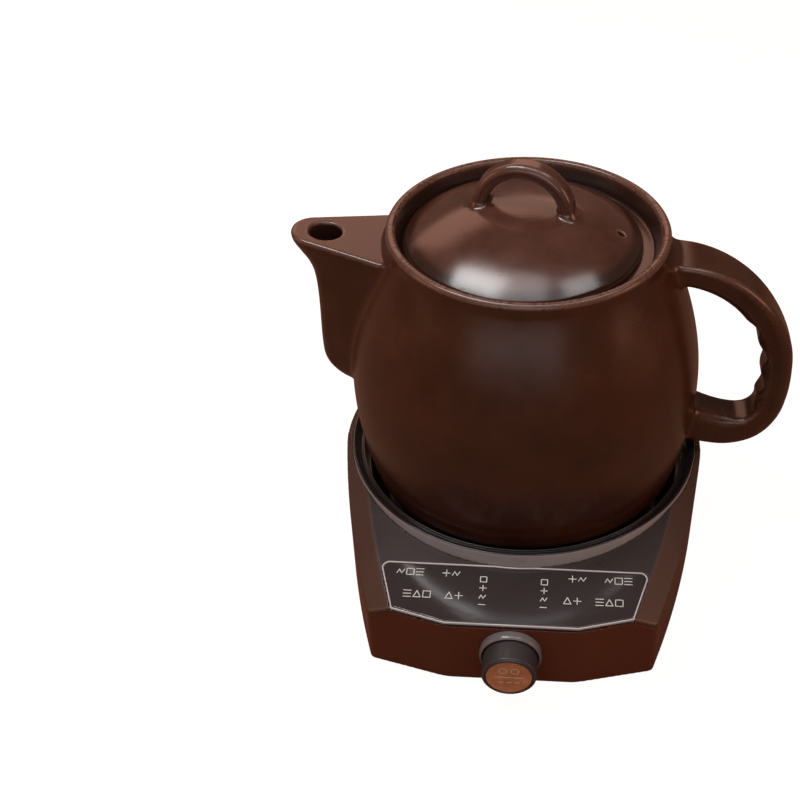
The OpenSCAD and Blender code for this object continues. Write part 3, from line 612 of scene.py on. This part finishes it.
# ---------------------------------------- panel
PANEL_BACK, PANEL_X, PANEL_FRONT_X, PANEL_ROUND, TRIM_W = 39.0, 73.5, 65.5, 5, 1.6
# Underside of the pane and its strip, below the deck
PANEL_UNDER = 1.1
# Top of the pane above the deck
PANE_TOP = 0.35


def panel_outline():
    """Outline of the panel on the deck, rounded at its back corners."""
    slope = (FRONT_Y - CORNER_Y) / (CORNER_X - FRONT_X)
    right = [(FRONT_X, 0), (PANEL_FRONT_X, (PANEL_FRONT_X - FRONT_X) * slope), (PANEL_X, PANEL_BACK - PANEL_ROUND)]
    turns = np.radians(np.arange(10, 90, 16))
    mid_x, mid_s = PANEL_X - PANEL_ROUND, PANEL_BACK - PANEL_ROUND
    right += [(mid_x + PANEL_ROUND * math.cos(a), mid_s + PANEL_ROUND * math.sin(a)) for a in turns]
    left = [(-x, s) for x, s in reversed(right)]
    return right + left


def panel_distance(x, s):
    """Outline of the panel's recess on the deck, less the round of the ring."""
    outline = polygon_distance(x, s, panel_outline())
    ring = RING_R + 0.2 - np.hypot(x, s * math.cos(DECK_A) - FRONT_Y)
    return np.maximum(outline, ring)


panel_chart = Chart(panel_distance, (-82, -6), (82, 46), 0.25)


def panel_pane(x, s, h):
    """Glossy pane inside the strip."""
    return meet(meet(panel_chart(x, s) + TRIM_W - 0.2, h - PANE_TOP, 0.5), -PANEL_UNDER - h, 0.2)


def panel_frame(x, s, h):
    """Light strip round the pane."""
    edge = panel_chart(x, s)
    band = np.maximum(edge + 0.35, -(edge + TRIM_W - 0.3))
    return meet(meet(band, h - 0.6, 0.7), -PANEL_UNDER - h, 0.2)


def on_deck(field):
    """A field given in the deck's own lengths: across, up the slope, and out of it."""
    return lambda x, y, z: field(
        x, (y + FRONT_Y) * math.cos(DECK_A) + (z - DECK_Z) * math.sin(DECK_A), above_deck(y, z)
    )


# ---------------------------------------- turned pieces
# Edges that turn more than this many degrees stay crisp
FLAT_ABOVE = 40


def soften(profile, radius, steps=4):
    """Rounds each corner of an open profile."""
    p = [np.array(q, float) for q in profile]
    out = [p[0]]
    for a, b, c in zip(p, p[1:], p[2:]):
        u, v = a - b, c - b
        reach = min(radius, np.linalg.norm(u) * 0.45, np.linalg.norm(v) * 0.45)
        s, e = b + u / np.linalg.norm(u) * reach, b + v / np.linalg.norm(v) * reach
        for i in range(steps + 1):
            t = i / steps
            out.append((1 - t) ** 2 * s + 2 * t * (1 - t) * b + t * t * e)
    return out + [p[-1]]


def turned(name, profile, body, origin=(0, 0, 0), forward=False, segments=160, closed=True):
    """Turns a profile of radius and height about +Z, or about -Y when forward."""
    profile = np.array(profile, float)
    angles = np.linspace(0, 2 * math.pi, segments, endpoint=False)
    rings = []
    for r, h in profile:
        if forward:
            rings.append(np.stack([r * np.cos(angles), np.full(segments, -h), r * np.sin(angles)], axis=1))
        else:
            rings.append(np.stack([r * np.cos(angles), r * np.sin(angles), np.full(segments, h)], axis=1))
    points = np.concatenate(rings) + np.array(origin, float)
    faces = []
    rows = len(profile)
    for i in range(rows if closed else rows - 1):
        j = (i + 1) % rows
        for k in range(segments):
            m = (k + 1) % segments
            faces.append((i * segments + k, i * segments + m, j * segments + m, j * segments + k))
    obj = piece(name, points, np.array(faces), body)
    clean_up(obj)
    return obj


def clean_up(obj):
    """Merges points that coincide, turns faces outward and keeps hard edges crisp."""
    bm = bmesh.new()
    bm.from_mesh(obj.data)
    bmesh.ops.remove_doubles(bm, verts=bm.verts, dist=1e-6)
    bmesh.ops.recalc_face_normals(bm, faces=bm.faces)
    for e in bm.edges:
        if len(e.link_faces) == 2:
            e.smooth = e.calc_face_angle() < math.radians(FLAT_ABOVE)
    bm.to_mesh(obj.data)
    bm.free()


# ---------------------------------------- materials
def shader(name, colour, rough, **facts):
    """A material with a mottled colour, an uneven gloss and a fine surface grain."""
    mat = bpy.data.materials.new(name)
    mat.use_nodes = True
    nt = mat.node_tree
    bsdf = nt.nodes["Principled BSDF"]
    facts.setdefault("IOR", 1.5)
    mottle = facts.pop("mottle", 0.12)
    mottle_size = facts.pop("mottle_size", 18.0)
    grain = facts.pop("grain", 0.02)
    grain_size = facts.pop("grain_size", 0.6)
    rough_span = facts.pop("rough_span", 0.05)
    tint = facts.pop("tint", colour)
    edge_tint = facts.pop("edge_tint", None)
    deep_tint = facts.pop("deep_tint", None)
    stretch = facts.pop("stretch", (1, 1, 1))
    for key, value in facts.items():
        bsdf.inputs[key.replace("_", " ")].default_value = value

    place = nt.nodes.new("ShaderNodeTexCoord")
    scale = nt.nodes.new("ShaderNodeMapping")
    scale.inputs["Scale"].default_value = stretch
    nt.links.new(place.outputs["Object"], scale.inputs["Vector"])

    def noise(size, detail):
        n = nt.nodes.new("ShaderNodeTexNoise")
        n.inputs["Scale"].default_value = 1 / (size * MM)
        n.inputs["Detail"].default_value = detail
        nt.links.new(scale.outputs["Vector"], n.inputs["Vector"])
        return n.outputs["Fac"]

    broad = noise(mottle_size, 4)
    fine = noise(grain_size, 2)

    def spread(source, lo, hi, start=0.3, end=0.7):
        m = nt.nodes.new("ShaderNodeMapRange")
        m.inputs["From Min"].default_value = start
        m.inputs["From Max"].default_value = end
        m.inputs["To Min"].default_value = lo
        m.inputs["To Max"].default_value = hi
        nt.links.new(source, m.inputs["Value"])
        return m.outputs["Result"]

    def mix(factor, a, b):
        m = nt.nodes.new("ShaderNodeMix")
        m.data_type = "RGBA"
        nt.links.new(factor, m.inputs["Factor"])
        for socket, value in ((m.inputs["A"], a), (m.inputs["B"], b)):
            if isinstance(value, tuple):
                socket.default_value = value
            else:
                nt.links.new(value, socket)
        return m.outputs["Result"]

    dark = tuple(c * (1 - mottle) for c in colour) + (1,)
    light = tuple(min(1, c * (1 + mottle)) for c in tint) + (1,)
    shade = mix(spread(broad, 0, 1), dark, light)
    speck = tuple(c * (1 - 0.6 * mottle) for c in colour) + (1,)
    shade = mix(spread(fine, 0, 0.5, 0.55, 0.75), shade, speck)
    # Glaze thins to a lighter tone on edges; a second, dark tint is painted shade in the neck and spout channel and a
    # painted dark reflection on the lid's edge
    for source, tone, lo, hi, most in (("edge", edge_tint, 0.08, 0.6, 0.6), ("painted_shade", deep_tint, 0.0, 1.0, 1.0)):
        if tone:
            reader = nt.nodes.new("ShaderNodeAttribute")
            reader.attribute_name = source
            shade = mix(spread(reader.outputs["Fac"], 0, most, lo, hi), shade, tuple(tone) + (1,))
    nt.links.new(shade, bsdf.inputs["Base Color"])
    nt.links.new(spread(broad, rough - rough_span, rough + rough_span), bsdf.inputs["Roughness"])
    if grain:
        bump = nt.nodes.new("ShaderNodeBump")
        bump.inputs["Strength"].default_value = 1.0
        bump.inputs["Distance"].default_value = grain * MM
        nt.links.new(fine, bump.inputs["Height"])
        nt.links.new(bump.outputs["Normal"], bsdf.inputs["Normal"])
    return mat


# Each glaze's last, dark tint is painted: shade inside the pot's neck and spout channel, and a dark reflection along
# the lid's edge.
GLAZE = shader(
    "stoneware_glaze", (0.045, 0.0125, 0.0054), 0.25, mottle=0.16, mottle_size=26, tint=(0.052, 0.015, 0.0066),
    grain=0.018, grain_size=1.4, rough_span=0.03, edge_tint=(0.17, 0.082, 0.060), deep_tint=(0.022, 0.008, 0.005),
    Specular_IOR_Level=0.55,
)
LID_GLAZE = shader(
    "lid_glaze", (0.062, 0.022, 0.013), 0.19, mottle=0.16, mottle_size=22, tint=(0.080, 0.030, 0.020),
    grain=0.018, grain_size=1.4, rough_span=0.03, edge_tint=(0.17, 0.082, 0.060), deep_tint=(0.022, 0.008, 0.005),
    Specular_IOR_Level=0.55,
)
HOUSING = shader(
    "housing_plastic", (0.100, 0.022, 0.008), 0.38, mottle=0.06, mottle_size=40, grain=0.012, grain_size=0.5,
    Specular_IOR_Level=0.35,
)
BAND = shader("band_plastic", (0.064, 0.030, 0.022), 0.36, mottle=0.06, mottle_size=40, grain=0.012, grain_size=0.5)
COVER = shader(
    "cover_plastic", (0.038, 0.026, 0.025), 0.30, mottle=0.05, mottle_size=40, grain=0.015, grain_size=0.45,
    Specular_IOR_Level=0.3,
)
RING = shader("ring_plastic", (0.020, 0.015, 0.015), 0.16, mottle=0.05, mottle_size=30, grain=0.006, grain_size=0.5)
COLLAR = shader("collar_plastic", (0.34, 0.305, 0.31), 0.30, mottle=0.05, mottle_size=30, grain=0.01, grain_size=0.5)
TRIM = shader("trim_plastic", (0.52, 0.47, 0.47), 0.20, mottle=0.04, grain=0.008)
# The pane's own dark colour, lightened as a painted sheen of the light above it.
PANE_PAINTED_SHEEN = shader("panel_acrylic_sheen", (0.036, 0.027, 0.028), 0.08, mottle=0.05, grain=0.001, rough_span=0.01)
KNOB = shader("knob_plastic", (0.035, 0.028, 0.031), 0.34, mottle=0.05, grain=0.012, grain_size=0.4)
BEZEL = shader("bezel_plastic", (0.13, 0.112, 0.115), 0.20, mottle=0.05, grain=0.005)
DISC = shader(
    "knob_amber", (0.46, 0.18, 0.08), 0.24, mottle=0.14, mottle_size=6, grain=0.006, tint=(0.54, 0.22, 0.10),
)
MARK = shader("panel_marks", (0.62, 0.60, 0.58), 0.5, mottle=0.03, grain=0.0)
KNOB_MARK = shader("knob_marks", (0.72, 0.50, 0.33), 0.5, mottle=0.03, grain=0.0)
STEEL = shader("plain_steel", (0.56, 0.56, 0.57), 0.30, mottle=0.05, grain=0.01, stretch=(1, 1, 8), Metallic=1.0)
SHEET = shader("rolled_sheet", (0.62, 0.62, 0.63), 0.28, mottle=0.06, grain=0.01, stretch=(1, 1, 12), Metallic=1.0)
ENAMEL = shader("dark_enamel", (0.022, 0.015, 0.013), 0.30, mottle=0.1, mottle_size=12, grain=0.02, grain_size=0.8)
CAST = shader(
    "cast_plate", (0.36, 0.36, 0.37), 0.42, mottle=0.12, mottle_size=9, grain=0.05, grain_size=0.8, Metallic=1.0,
)
SHEATH = shader("dull_sheath", (0.26, 0.24, 0.22), 0.5, mottle=0.15, mottle_size=8, grain=0.02, Metallic=1.0)
BRASS = shader("plain_brass", (0.60, 0.43, 0.18), 0.28, mottle=0.06, grain=0.01, Metallic=1.0)
BLACK = shader("black_moulding", (0.028, 0.028, 0.029), 0.52, mottle=0.08, grain=0.03, grain_size=0.4)
UNDER = shader("under_plastic", (0.030, 0.024, 0.023), 0.55, mottle=0.08, mottle_size=30, grain=0.05, grain_size=0.5)
RUBBER = shader("foot_rubber", (0.018, 0.018, 0.018), 0.72, mottle=0.12, grain=0.05, grain_size=0.7)
BOARD = shader("green_board", (0.018, 0.10, 0.042), 0.38, mottle=0.1, mottle_size=5, grain=0.02)
POWER = shader("brown_board", (0.20, 0.11, 0.04), 0.5, mottle=0.12, mottle_size=6, grain=0.03)
LAMP = shader("clear_lamps", (0.7, 0.68, 0.6), 0.2, mottle=0.04, Transmission_Weight=0.6)
SCREEN = shader("display_blocks", (0.05, 0.05, 0.054), 0.35, mottle=0.06)
WHITE = shader("off_white_ceramic", (0.62, 0.56, 0.46), 0.45, mottle=0.08, mottle_size=7, grain=0.02)
BLUE = shader("relay_case", (0.03, 0.09, 0.26), 0.3, mottle=0.05)
SLEEVE = shader("capacitor_sleeve", (0.03, 0.03, 0.10), 0.28, mottle=0.06)
CORE = shader("transformer_core", (0.05, 0.05, 0.055), 0.5, mottle=0.15, mottle_size=5, grain=0.04)
WIRE = shader("wire_insulation", (0.24, 0.10, 0.03), 0.45, mottle=0.05)


def wear(obj, material):
    """Gives an object one material."""
    obj.data.materials.clear()
    obj.data.materials.append(material)


NODE_MATERIALS = {
    "housing_shell": HOUSING, "top_cover": COVER, "recess_ring": RING, "panel_trim": TRIM, "control_panel": PANE_PAINTED_SHEEN,
    "heat_shield": ENAMEL, "heater_plate": CAST, "heater_element": SHEATH, "plate_posts": STEEL, "post_screws": STEEL,
    "sensor_cap": SHEET, "sensor_spring": STEEL, "sensor_holder": BLACK, "thermostat": WHITE, "thermal_fuse": WHITE,
    "control_board": BOARD, "light_guide": BLACK, "digit_displays": SCREEN, "indicator_lamps": LAMP,
    "board_screws": STEEL, "encoder_body": BLACK, "encoder_nut": STEEL, "press_slider": WHITE, "knob_shaft": STEEL,
    "knob": KNOB, "knob_disc": DISC, "knob_bezel": BEZEL, "power_board": POWER, "transformer": CORE, "relay": BLUE,
    "capacitors": SLEEVE, "mains_wires": WIRE, "power_inlet": BLACK, "inlet_pins": BRASS, "inlet_screws": STEEL,
    "bottom_cover": UNDER, "cover_screws": STEEL, "rubber_feet": RUBBER, "pot_body": GLAZE, "pot_spout": GLAZE,
    "pot_handle": GLAZE, "lid": LID_GLAZE, "lid_loop": LID_GLAZE,
}
for node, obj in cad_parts.items():
    wear(obj, NODE_MATERIALS[node])

# ---------------------------------------- pieces
POT_CELL = 1.0
LID_CELL = 0.7
BASE_CELL = 1.0
PANE_CELL, TRIM_CELL = 0.6, 0.45


def pot_painted_shade(x, y, z):
    """Painted shade on the pot's glaze: darker inside the neck and down the spout's channel."""
    r = np.hypot(x, y)
    below_rim = np.clip((RIM_Z - 1.5 - z) / 3, 0, 1)
    in_neck = below_rim * np.clip(RIM_R - 4.6 - r, 0, 1) * np.clip(r - LID_R - 0.3, 0, 1)
    below_top = np.clip((SPOUT_TOP_Z - 1 - z) / 4, 0, 1)
    in_spout = np.clip(0.6 - np.abs(channel_field(x, y, z)), 0, 0.5) * 2 * below_top
    return np.maximum(in_neck, in_spout)


def lid_painted_reflection(x, y, z):
    """Painted dark reflection on the lid's glaze: a darker band along its edge."""
    r = np.hypot(x + LID_OFF, y - LID_OFF / 2)
    return np.clip((r - LID_R + 8) / 3, 0, 1) * 0.8


def set_painted_shade(obj, amount):
    """Stores how much painted shade darkens the glaze at each point of a mesh."""
    x, y, z = ((np.array([v.co for v in obj.data.vertices]) - AXIS) / MM).T
    painted_shade = obj.data.attributes.new("painted_shade", "FLOAT", "POINT")
    painted_shade.data.foreach_set("value", amount(x, y, z).astype(np.float32))


pot = skin("pot_ceramic", pot_field, (-132, -103, POT_Z0 - 3), (157, 103, RIM_Z + 3), POT_CELL, "pot")
wear(pot, GLAZE)
# Painted shade: darker glaze inside the neck and down the spout's channel.
set_painted_shade(pot, pot_painted_shade)
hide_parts("pot_body", "pot_spout", "pot_handle")

lid = skin("lid_ceramic", lid_field, (-68, -68, LID_Z - 8), (68, 68, LOOP_Z + 32), LID_CELL, "lid")
wear(lid, LID_GLAZE)
# Painted dark reflection: a darker band along the lid's edge.
set_painted_shade(lid, lid_painted_reflection)
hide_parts("lid", "lid_loop")

base_lo, base_hi = (-110, -145, 1), (110, 110, TOP_Z + 3)
housing = skin("base_housing", housing_field, base_lo, base_hi, BASE_CELL, "base")
wear(housing, HOUSING)
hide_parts("housing_shell")

cover = skin("base_cover", cover_field, base_lo, base_hi, BASE_CELL, "base")
wear(cover, COVER)
cover.data.materials.append(BAND)
centres = np.empty(len(cover.data.polygons) * 3)
cover.data.polygons.foreach_get("center", centres)
cx, cy, cz = ((centres.reshape(-1, 3) - AXIS) / MM).T
on_band = bevel_distance(cx, cy, cz) > deck_distance(cy, cz)
cover.data.polygons.foreach_set("material_index", on_band.astype(np.int32))
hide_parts("top_cover")

panel_lo, panel_hi = (-76, -144, DECK_Z - 3), (76, -99, DECK_Z + 9)
pane = skin("panel_pane", on_deck(panel_pane), panel_lo, panel_hi, PANE_CELL, "base")
wear(pane, PANE_PAINTED_SHEEN)
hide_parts("control_panel")

trim = skin("panel_frame", on_deck(panel_frame), panel_lo, panel_hi, TRIM_CELL, "base")
wear(trim, TRIM)
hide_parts("panel_trim")

ring_profile = soften(
    [
        (WELL_R + 0.3, 45), (RING_R, 45), (RING_R, RING_Z - 0.8), (RING_R - 0.3, RING_Z - 0.2),
        (RING_R - 0.9, RING_Z), (RING_R - 1.6, RING_Z - 0.3), (WELL_R + 1.8, RING_Z - 3.6),
        (WELL_R + 1.1, RING_Z - 2.4), (WELL_R + 0.3, RING_Z - 2.5), (WELL_R, RING_Z - 3.2), (WELL_R, 46),
    ],
    0.5,
)
ring = turned("recess_rim", ring_profile, "base", segments=256)
wear(ring, RING)
ring.data.materials.append(COLLAR)
for face in ring.data.polygons:
    place = Vector(face.center) - Vector(AXIS)
    face.material_index = int(math.hypot(place.x, place.y) > (RING_R - 0.15) * MM)
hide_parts("recess_ring")

bezel_profile = soften(
    [
        (KNOB_R + 0.5, 0.05), (BEZEL_R, 0.05), (BEZEL_R, 3.6), (BEZEL_R - 0.4, 4.8), (BEZEL_R - 1.1, 5.3),
        (KNOB_R + 0.9, 5.0), (KNOB_R + 0.5, 4.4),
    ],
    0.5,
)
bezel = turned("knob_ring", bezel_profile, "base", (0, -FRONT_Y, KNOB_Z), forward=True)
wear(bezel, BEZEL)
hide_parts("knob_bezel")

knob_len = KNOB_FACE - FRONT_Y - 3
knob_profile = [(0, knob_len - 1.2), (12.4, knob_len - 1.2)] + soften(
    [(12.45, knob_len - 1.2), (12.55, knob_len), (KNOB_R - 1.2, knob_len), (KNOB_R, knob_len - 1.2), (KNOB_R, 0)], 0.35
) + [(KNOB_R - 2.2, 0), (KNOB_R - 2.2, 11), (5.5, 11), (5.5, 2), (3.02, 2), (3.02, 8), (0, 8)]
knob = turned("knob_cap", knob_profile, "knob", (0, -FRONT_Y - 3, KNOB_Z), forward=True, closed=False)
wear(knob, KNOB)
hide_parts("knob")

disc_profile = [(0, 0.0), (12.3, 0.0)] + soften([(12.3, 0.05), (12.3, 0.85), (11.6, 0.88)], 0.2) + [(0, 0.88)]
disc = turned("knob_face_disc", disc_profile, "knob", (0, -KNOB_FACE + 1.18, KNOB_Z), forward=True, closed=False)
wear(disc, DISC)
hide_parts("knob_disc")

# ---------------------------------------- marks
GLYPHS = {
    "bars": [(-1, 1, 1, 1), (-1, 0, 1, 0), (-1, -1, 1, -1)],
    "plus": [(-1, 0, 1, 0), (0, -1, 0, 1)],
    "box": [(-1, -1, 1, -1), (1, -1, 1, 1), (1, 1, -1, 1), (-1, 1, -1, -1)],
    "peak": [(-1, -1, 0, 1), (0, 1, 1, -1), (1, -1, -1, -1)],
    "wave": [(-1, -0.6, -0.4, 0.6), (-0.4, 0.6, 0.3, -0.6), (0.3, -0.6, 1, 0.6)],
    "rail": [(-1, 0, 1, 0)],
}
MARK_W, MARK_PITCH, STROKE = 4.0, 5.3, 0.45
ROW_1, ROW_2 = 32.0, 17.8
LABELS = [
    (57.0, ROW_1, ("wave", "box", "bars")), (34.5, ROW_1, ("plus", "wave")),
    (52.0, ROW_2, ("bars", "peak", "box")), (32.0, ROW_2, ("peak", "plus")),
]
COLUMN_X, COLUMN = 16.6, ((29.0, "box"), (23.4, "plus"), (17.8, "wave"), (12.8, "rail"))


# The six sides of a stroke, by its eight corners
STROKE_SIDES = ((3, 2, 1, 0), (4, 5, 6, 7), (0, 1, 5, 4), (1, 2, 6, 5), (2, 3, 7, 6), (3, 0, 4, 7))
STROKE_HALF_H = 0.05


def strokes(name, lines, width, place, body, material):
    """Flat raised strokes between points of a plane; place turns plane lengths into points."""
    points, faces = [], []
    for ax, ay, bx, by in lines:
        along = np.array([bx - ax, by - ay], float)
        along *= width / 2 / np.linalg.norm(along)
        out = np.array([-along[1], along[0]])
        first = len(points)
        for h in (-STROKE_HALF_H, STROKE_HALF_H):
            for end, way in (((ax, ay), -1), ((bx, by), 1)):
                for turn in (-way, way):
                    points.append(place(*(np.array(end) + way * along + turn * out), h))
        faces += [[first + k for k in side] for side in STROKE_SIDES]
    obj = piece(name, points, faces, body)
    clean_up(obj)
    wear(obj, material)


def glyph(kind, x, s, half):
    """Lines of one plain sign, half its size to each side of a place."""
    return [(x + a * half, s + b * half, x + c * half, s + d * half) for a, b, c, d in GLYPHS[kind]]


def on_pane(x, s, h):
    """Point just above the pane, from lengths across, up the slope and out of it."""
    h += PANE_TOP + 0.02
    cos_a, sin_a = math.cos(DECK_A), math.sin(DECK_A)
    return (x, -FRONT_Y + s * cos_a - h * sin_a, DECK_Z + s * sin_a + h * cos_a)


panel_lines = []
for side in (-1, 1):
    for x, s, kinds in LABELS:
        for k, kind in enumerate(kinds):
            panel_lines += glyph(kind, side * x + (k - (len(kinds) - 1) / 2) * MARK_PITCH, s, MARK_W / 2)
    for s, kind in COLUMN:
        panel_lines += glyph(kind, side * COLUMN_X, s, MARK_W / 2 * 0.85)
strokes("panel_marks", panel_lines, STROKE, on_pane, "base", MARK)

FACE_Y = -KNOB_FACE + 0.3
knob_lines = [(-7.5, 0, 7.5, 0)]
for x in (-3.2, 3.2):
    knob_lines += glyph("box", x, 5.2, 1.9)
for x in (-4.4, 0, 4.4):
    knob_lines += glyph("rail", x, -4.0, 1.3)
strokes("knob_marks", knob_lines, 0.5, lambda x, z, h: (x, FACE_Y - h, KNOB_Z + z), "knob", KNOB_MARK)

# ---------------------------------------- floor, light, camera
# Camera fitted to the photograph: place in mm from the pot's axis, then angles in degrees
CAMERA_AT = (18.401, -577.818, 559.903)
CAMERA_TURN, CAMERA_PITCH, CAMERA_ROLL = 2.1091, 39.2977, 1.1401
FOCAL_PX, CENTRE_PX, FRAME_PX = 1250.0, 520.0, 800.0
SENSOR = 36.0


def add_camera():
    """Camera that sees the object as the photograph shows it."""
    turn, pitch, roll = (math.radians(a) for a in (CAMERA_TURN, CAMERA_PITCH, CAMERA_ROLL))
    back = Vector((math.sin(turn) * math.cos(pitch), -math.cos(turn) * math.cos(pitch), math.sin(pitch)))
    right = Vector((math.cos(turn), math.sin(turn), 0))
    up = back.cross(right)
    right2 = math.cos(roll) * right + math.sin(roll) * up
    up2 = -math.sin(roll) * right + math.cos(roll) * up
    data = bpy.data.cameras.new("camera")
    data.sensor_width = SENSOR
    data.lens = SENSOR * FOCAL_PX / FRAME_PX
    data.shift_x = (FRAME_PX / 2 - CENTRE_PX) / FRAME_PX
    cam = bpy.data.objects.new("camera", data)
    turned_to = Matrix((right2, up2, back)).transposed().to_4x4()
    cam.matrix_world = Matrix.Translation(Vector(AXIS) + Vector(CAMERA_AT) * MM) @ turned_to
    bpy.context.scene.collection.objects.link(cam)
    bpy.context.scene.camera = cam


def add_lamp(name, at, size, power, colour=(1, 1, 1), aim=None, turn=0.0):
    """A flat lamp that faces straight down, or the given point."""
    data = bpy.data.lights.new(name, "AREA")
    data.shape = "RECTANGLE"
    data.size, data.size_y = size
    data.energy = power
    data.color = colour
    lamp = bpy.data.objects.new(name, data)
    lamp.location = at
    if aim:
        lamp.rotation_mode = "QUATERNION"
        lamp.rotation_quaternion = (Vector(aim) - Vector(at)).to_track_quat("-Z", "Y")
    else:
        lamp.rotation_euler = (0, 0, math.radians(turn))
    bpy.context.scene.collection.objects.link(lamp)


# The floor is brown to the lamps and white to the camera
FLOOR_COLOUR, FLOOR_GLOW, FLOOR_SHINE, FLOOR_HALF = (0.20, 0.09, 0.05, 1), 0.96, 0.01, 4.0


def add_floor():
    """Floor that keeps the object's shadow."""
    mesh = bpy.data.meshes.new("studio_floor")
    corners = [(a * FLOOR_HALF, b * FLOOR_HALF, 0) for a, b in ((-1, -1), (1, -1), (1, 1), (-1, 1))]
    mesh.from_pydata(corners, [], [(0, 1, 2, 3)])
    floor = bpy.data.objects.new("studio_floor", mesh)
    bpy.context.scene.collection.objects.link(floor)
    mat = bpy.data.materials.new("studio_floor")
    mat.use_nodes = True
    nt = mat.node_tree
    bsdf = nt.nodes["Principled BSDF"]
    bsdf.inputs["Base Color"].default_value = FLOOR_COLOUR
    bsdf.inputs["Roughness"].default_value = 0.9
    bsdf.inputs["Emission Color"].default_value = (1, 1, 1, 1)
    path = nt.nodes.new("ShaderNodeLightPath")
    glow = nt.nodes.new("ShaderNodeMath")
    glow.operation = "MULTIPLY"
    glow.inputs[1].default_value = FLOOR_GLOW
    some = nt.nodes.new("ShaderNodeMath")
    some.operation = "MULTIPLY_ADD"
    some.inputs[1].default_value = FLOOR_SHINE
    nt.links.new(path.outputs["Is Glossy Ray"], some.inputs[0])
    nt.links.new(path.outputs["Is Camera Ray"], some.inputs[2])
    nt.links.new(some.outputs[0], glow.inputs[0])
    nt.links.new(glow.outputs[0], bsdf.inputs["Emission Strength"])
    mesh.materials.append(mat)


def add_world():
    """Soft warm light on the object, and white where the camera sees past it."""
    world = bpy.data.worlds.new("studio")
    bpy.context.scene.world = world
    world.use_nodes = True
    nt = world.node_tree
    soft = nt.nodes["Background"]
    soft.inputs["Color"].default_value = (1.0, 0.80, 0.66, 1)
    soft.inputs["Strength"].default_value = 0.10
    seen = nt.nodes.new("ShaderNodeBackground")
    seen.inputs["Color"].default_value = (1, 1, 1, 1)
    seen.inputs["Strength"].default_value = 1.0
    path = nt.nodes.new("ShaderNodeLightPath")
    either = nt.nodes.new("ShaderNodeMath")
    either.operation = "MAXIMUM"
    nt.links.new(path.outputs["Is Camera Ray"], either.inputs[0])
    nt.links.new(path.outputs["Is Transmission Ray"], either.inputs[1])
    blend = nt.nodes.new("ShaderNodeMixShader")
    nt.links.new(either.outputs[0], blend.inputs["Fac"])
    nt.links.new(soft.outputs[0], blend.inputs[1])
    nt.links.new(seen.outputs[0], blend.inputs[2])
    nt.links.new(blend.outputs[0], nt.nodes["World Output"].inputs["Surface"])


add_camera()
add_floor()
add_world()
WARM, SUNSET = (1.0, 0.54, 0.40), (1.0, 0.46, 0.24)
middle = Vector(AXIS) + Vector((0, 0, 0.12))
add_lamp("lamp_left", (-0.46, 0.02, 1.20), (0.60, 0.25), 6.5, turn=-30)
add_lamp("lamp_right", (0.58, 0.08, 1.20), (0.46, 0.20), 1.6, turn=40)
add_lamp("lamp_back", (-0.35, 1.20, 1.00), (1.6, 0.6), 5, WARM, aim=middle)
add_lamp("lamp_over", (0.02, -0.10, 1.20), (0.40, 0.28), 1.2)
add_lamp("lamp_top", (0.1, -0.50, 1.70), (2.0, 1.2), 7)
add_lamp("lamp_front", (0.0, -1.4, 0.9), (0.9, 0.5), 1.4, aim=middle)
add_lamp("lamp_low", (-0.1, -1.3, 0.55), (1.6, 0.40), 2.6, aim=middle)
for side, power in ((-1, 2.0), (1, 3.5)):
    add_lamp("lamp_side", (side * 1.25, -0.25, 0.50), (0.6, 0.6), power, SUNSET, aim=middle)
bpy.context.scene.view_settings.view_transform = "Standard"
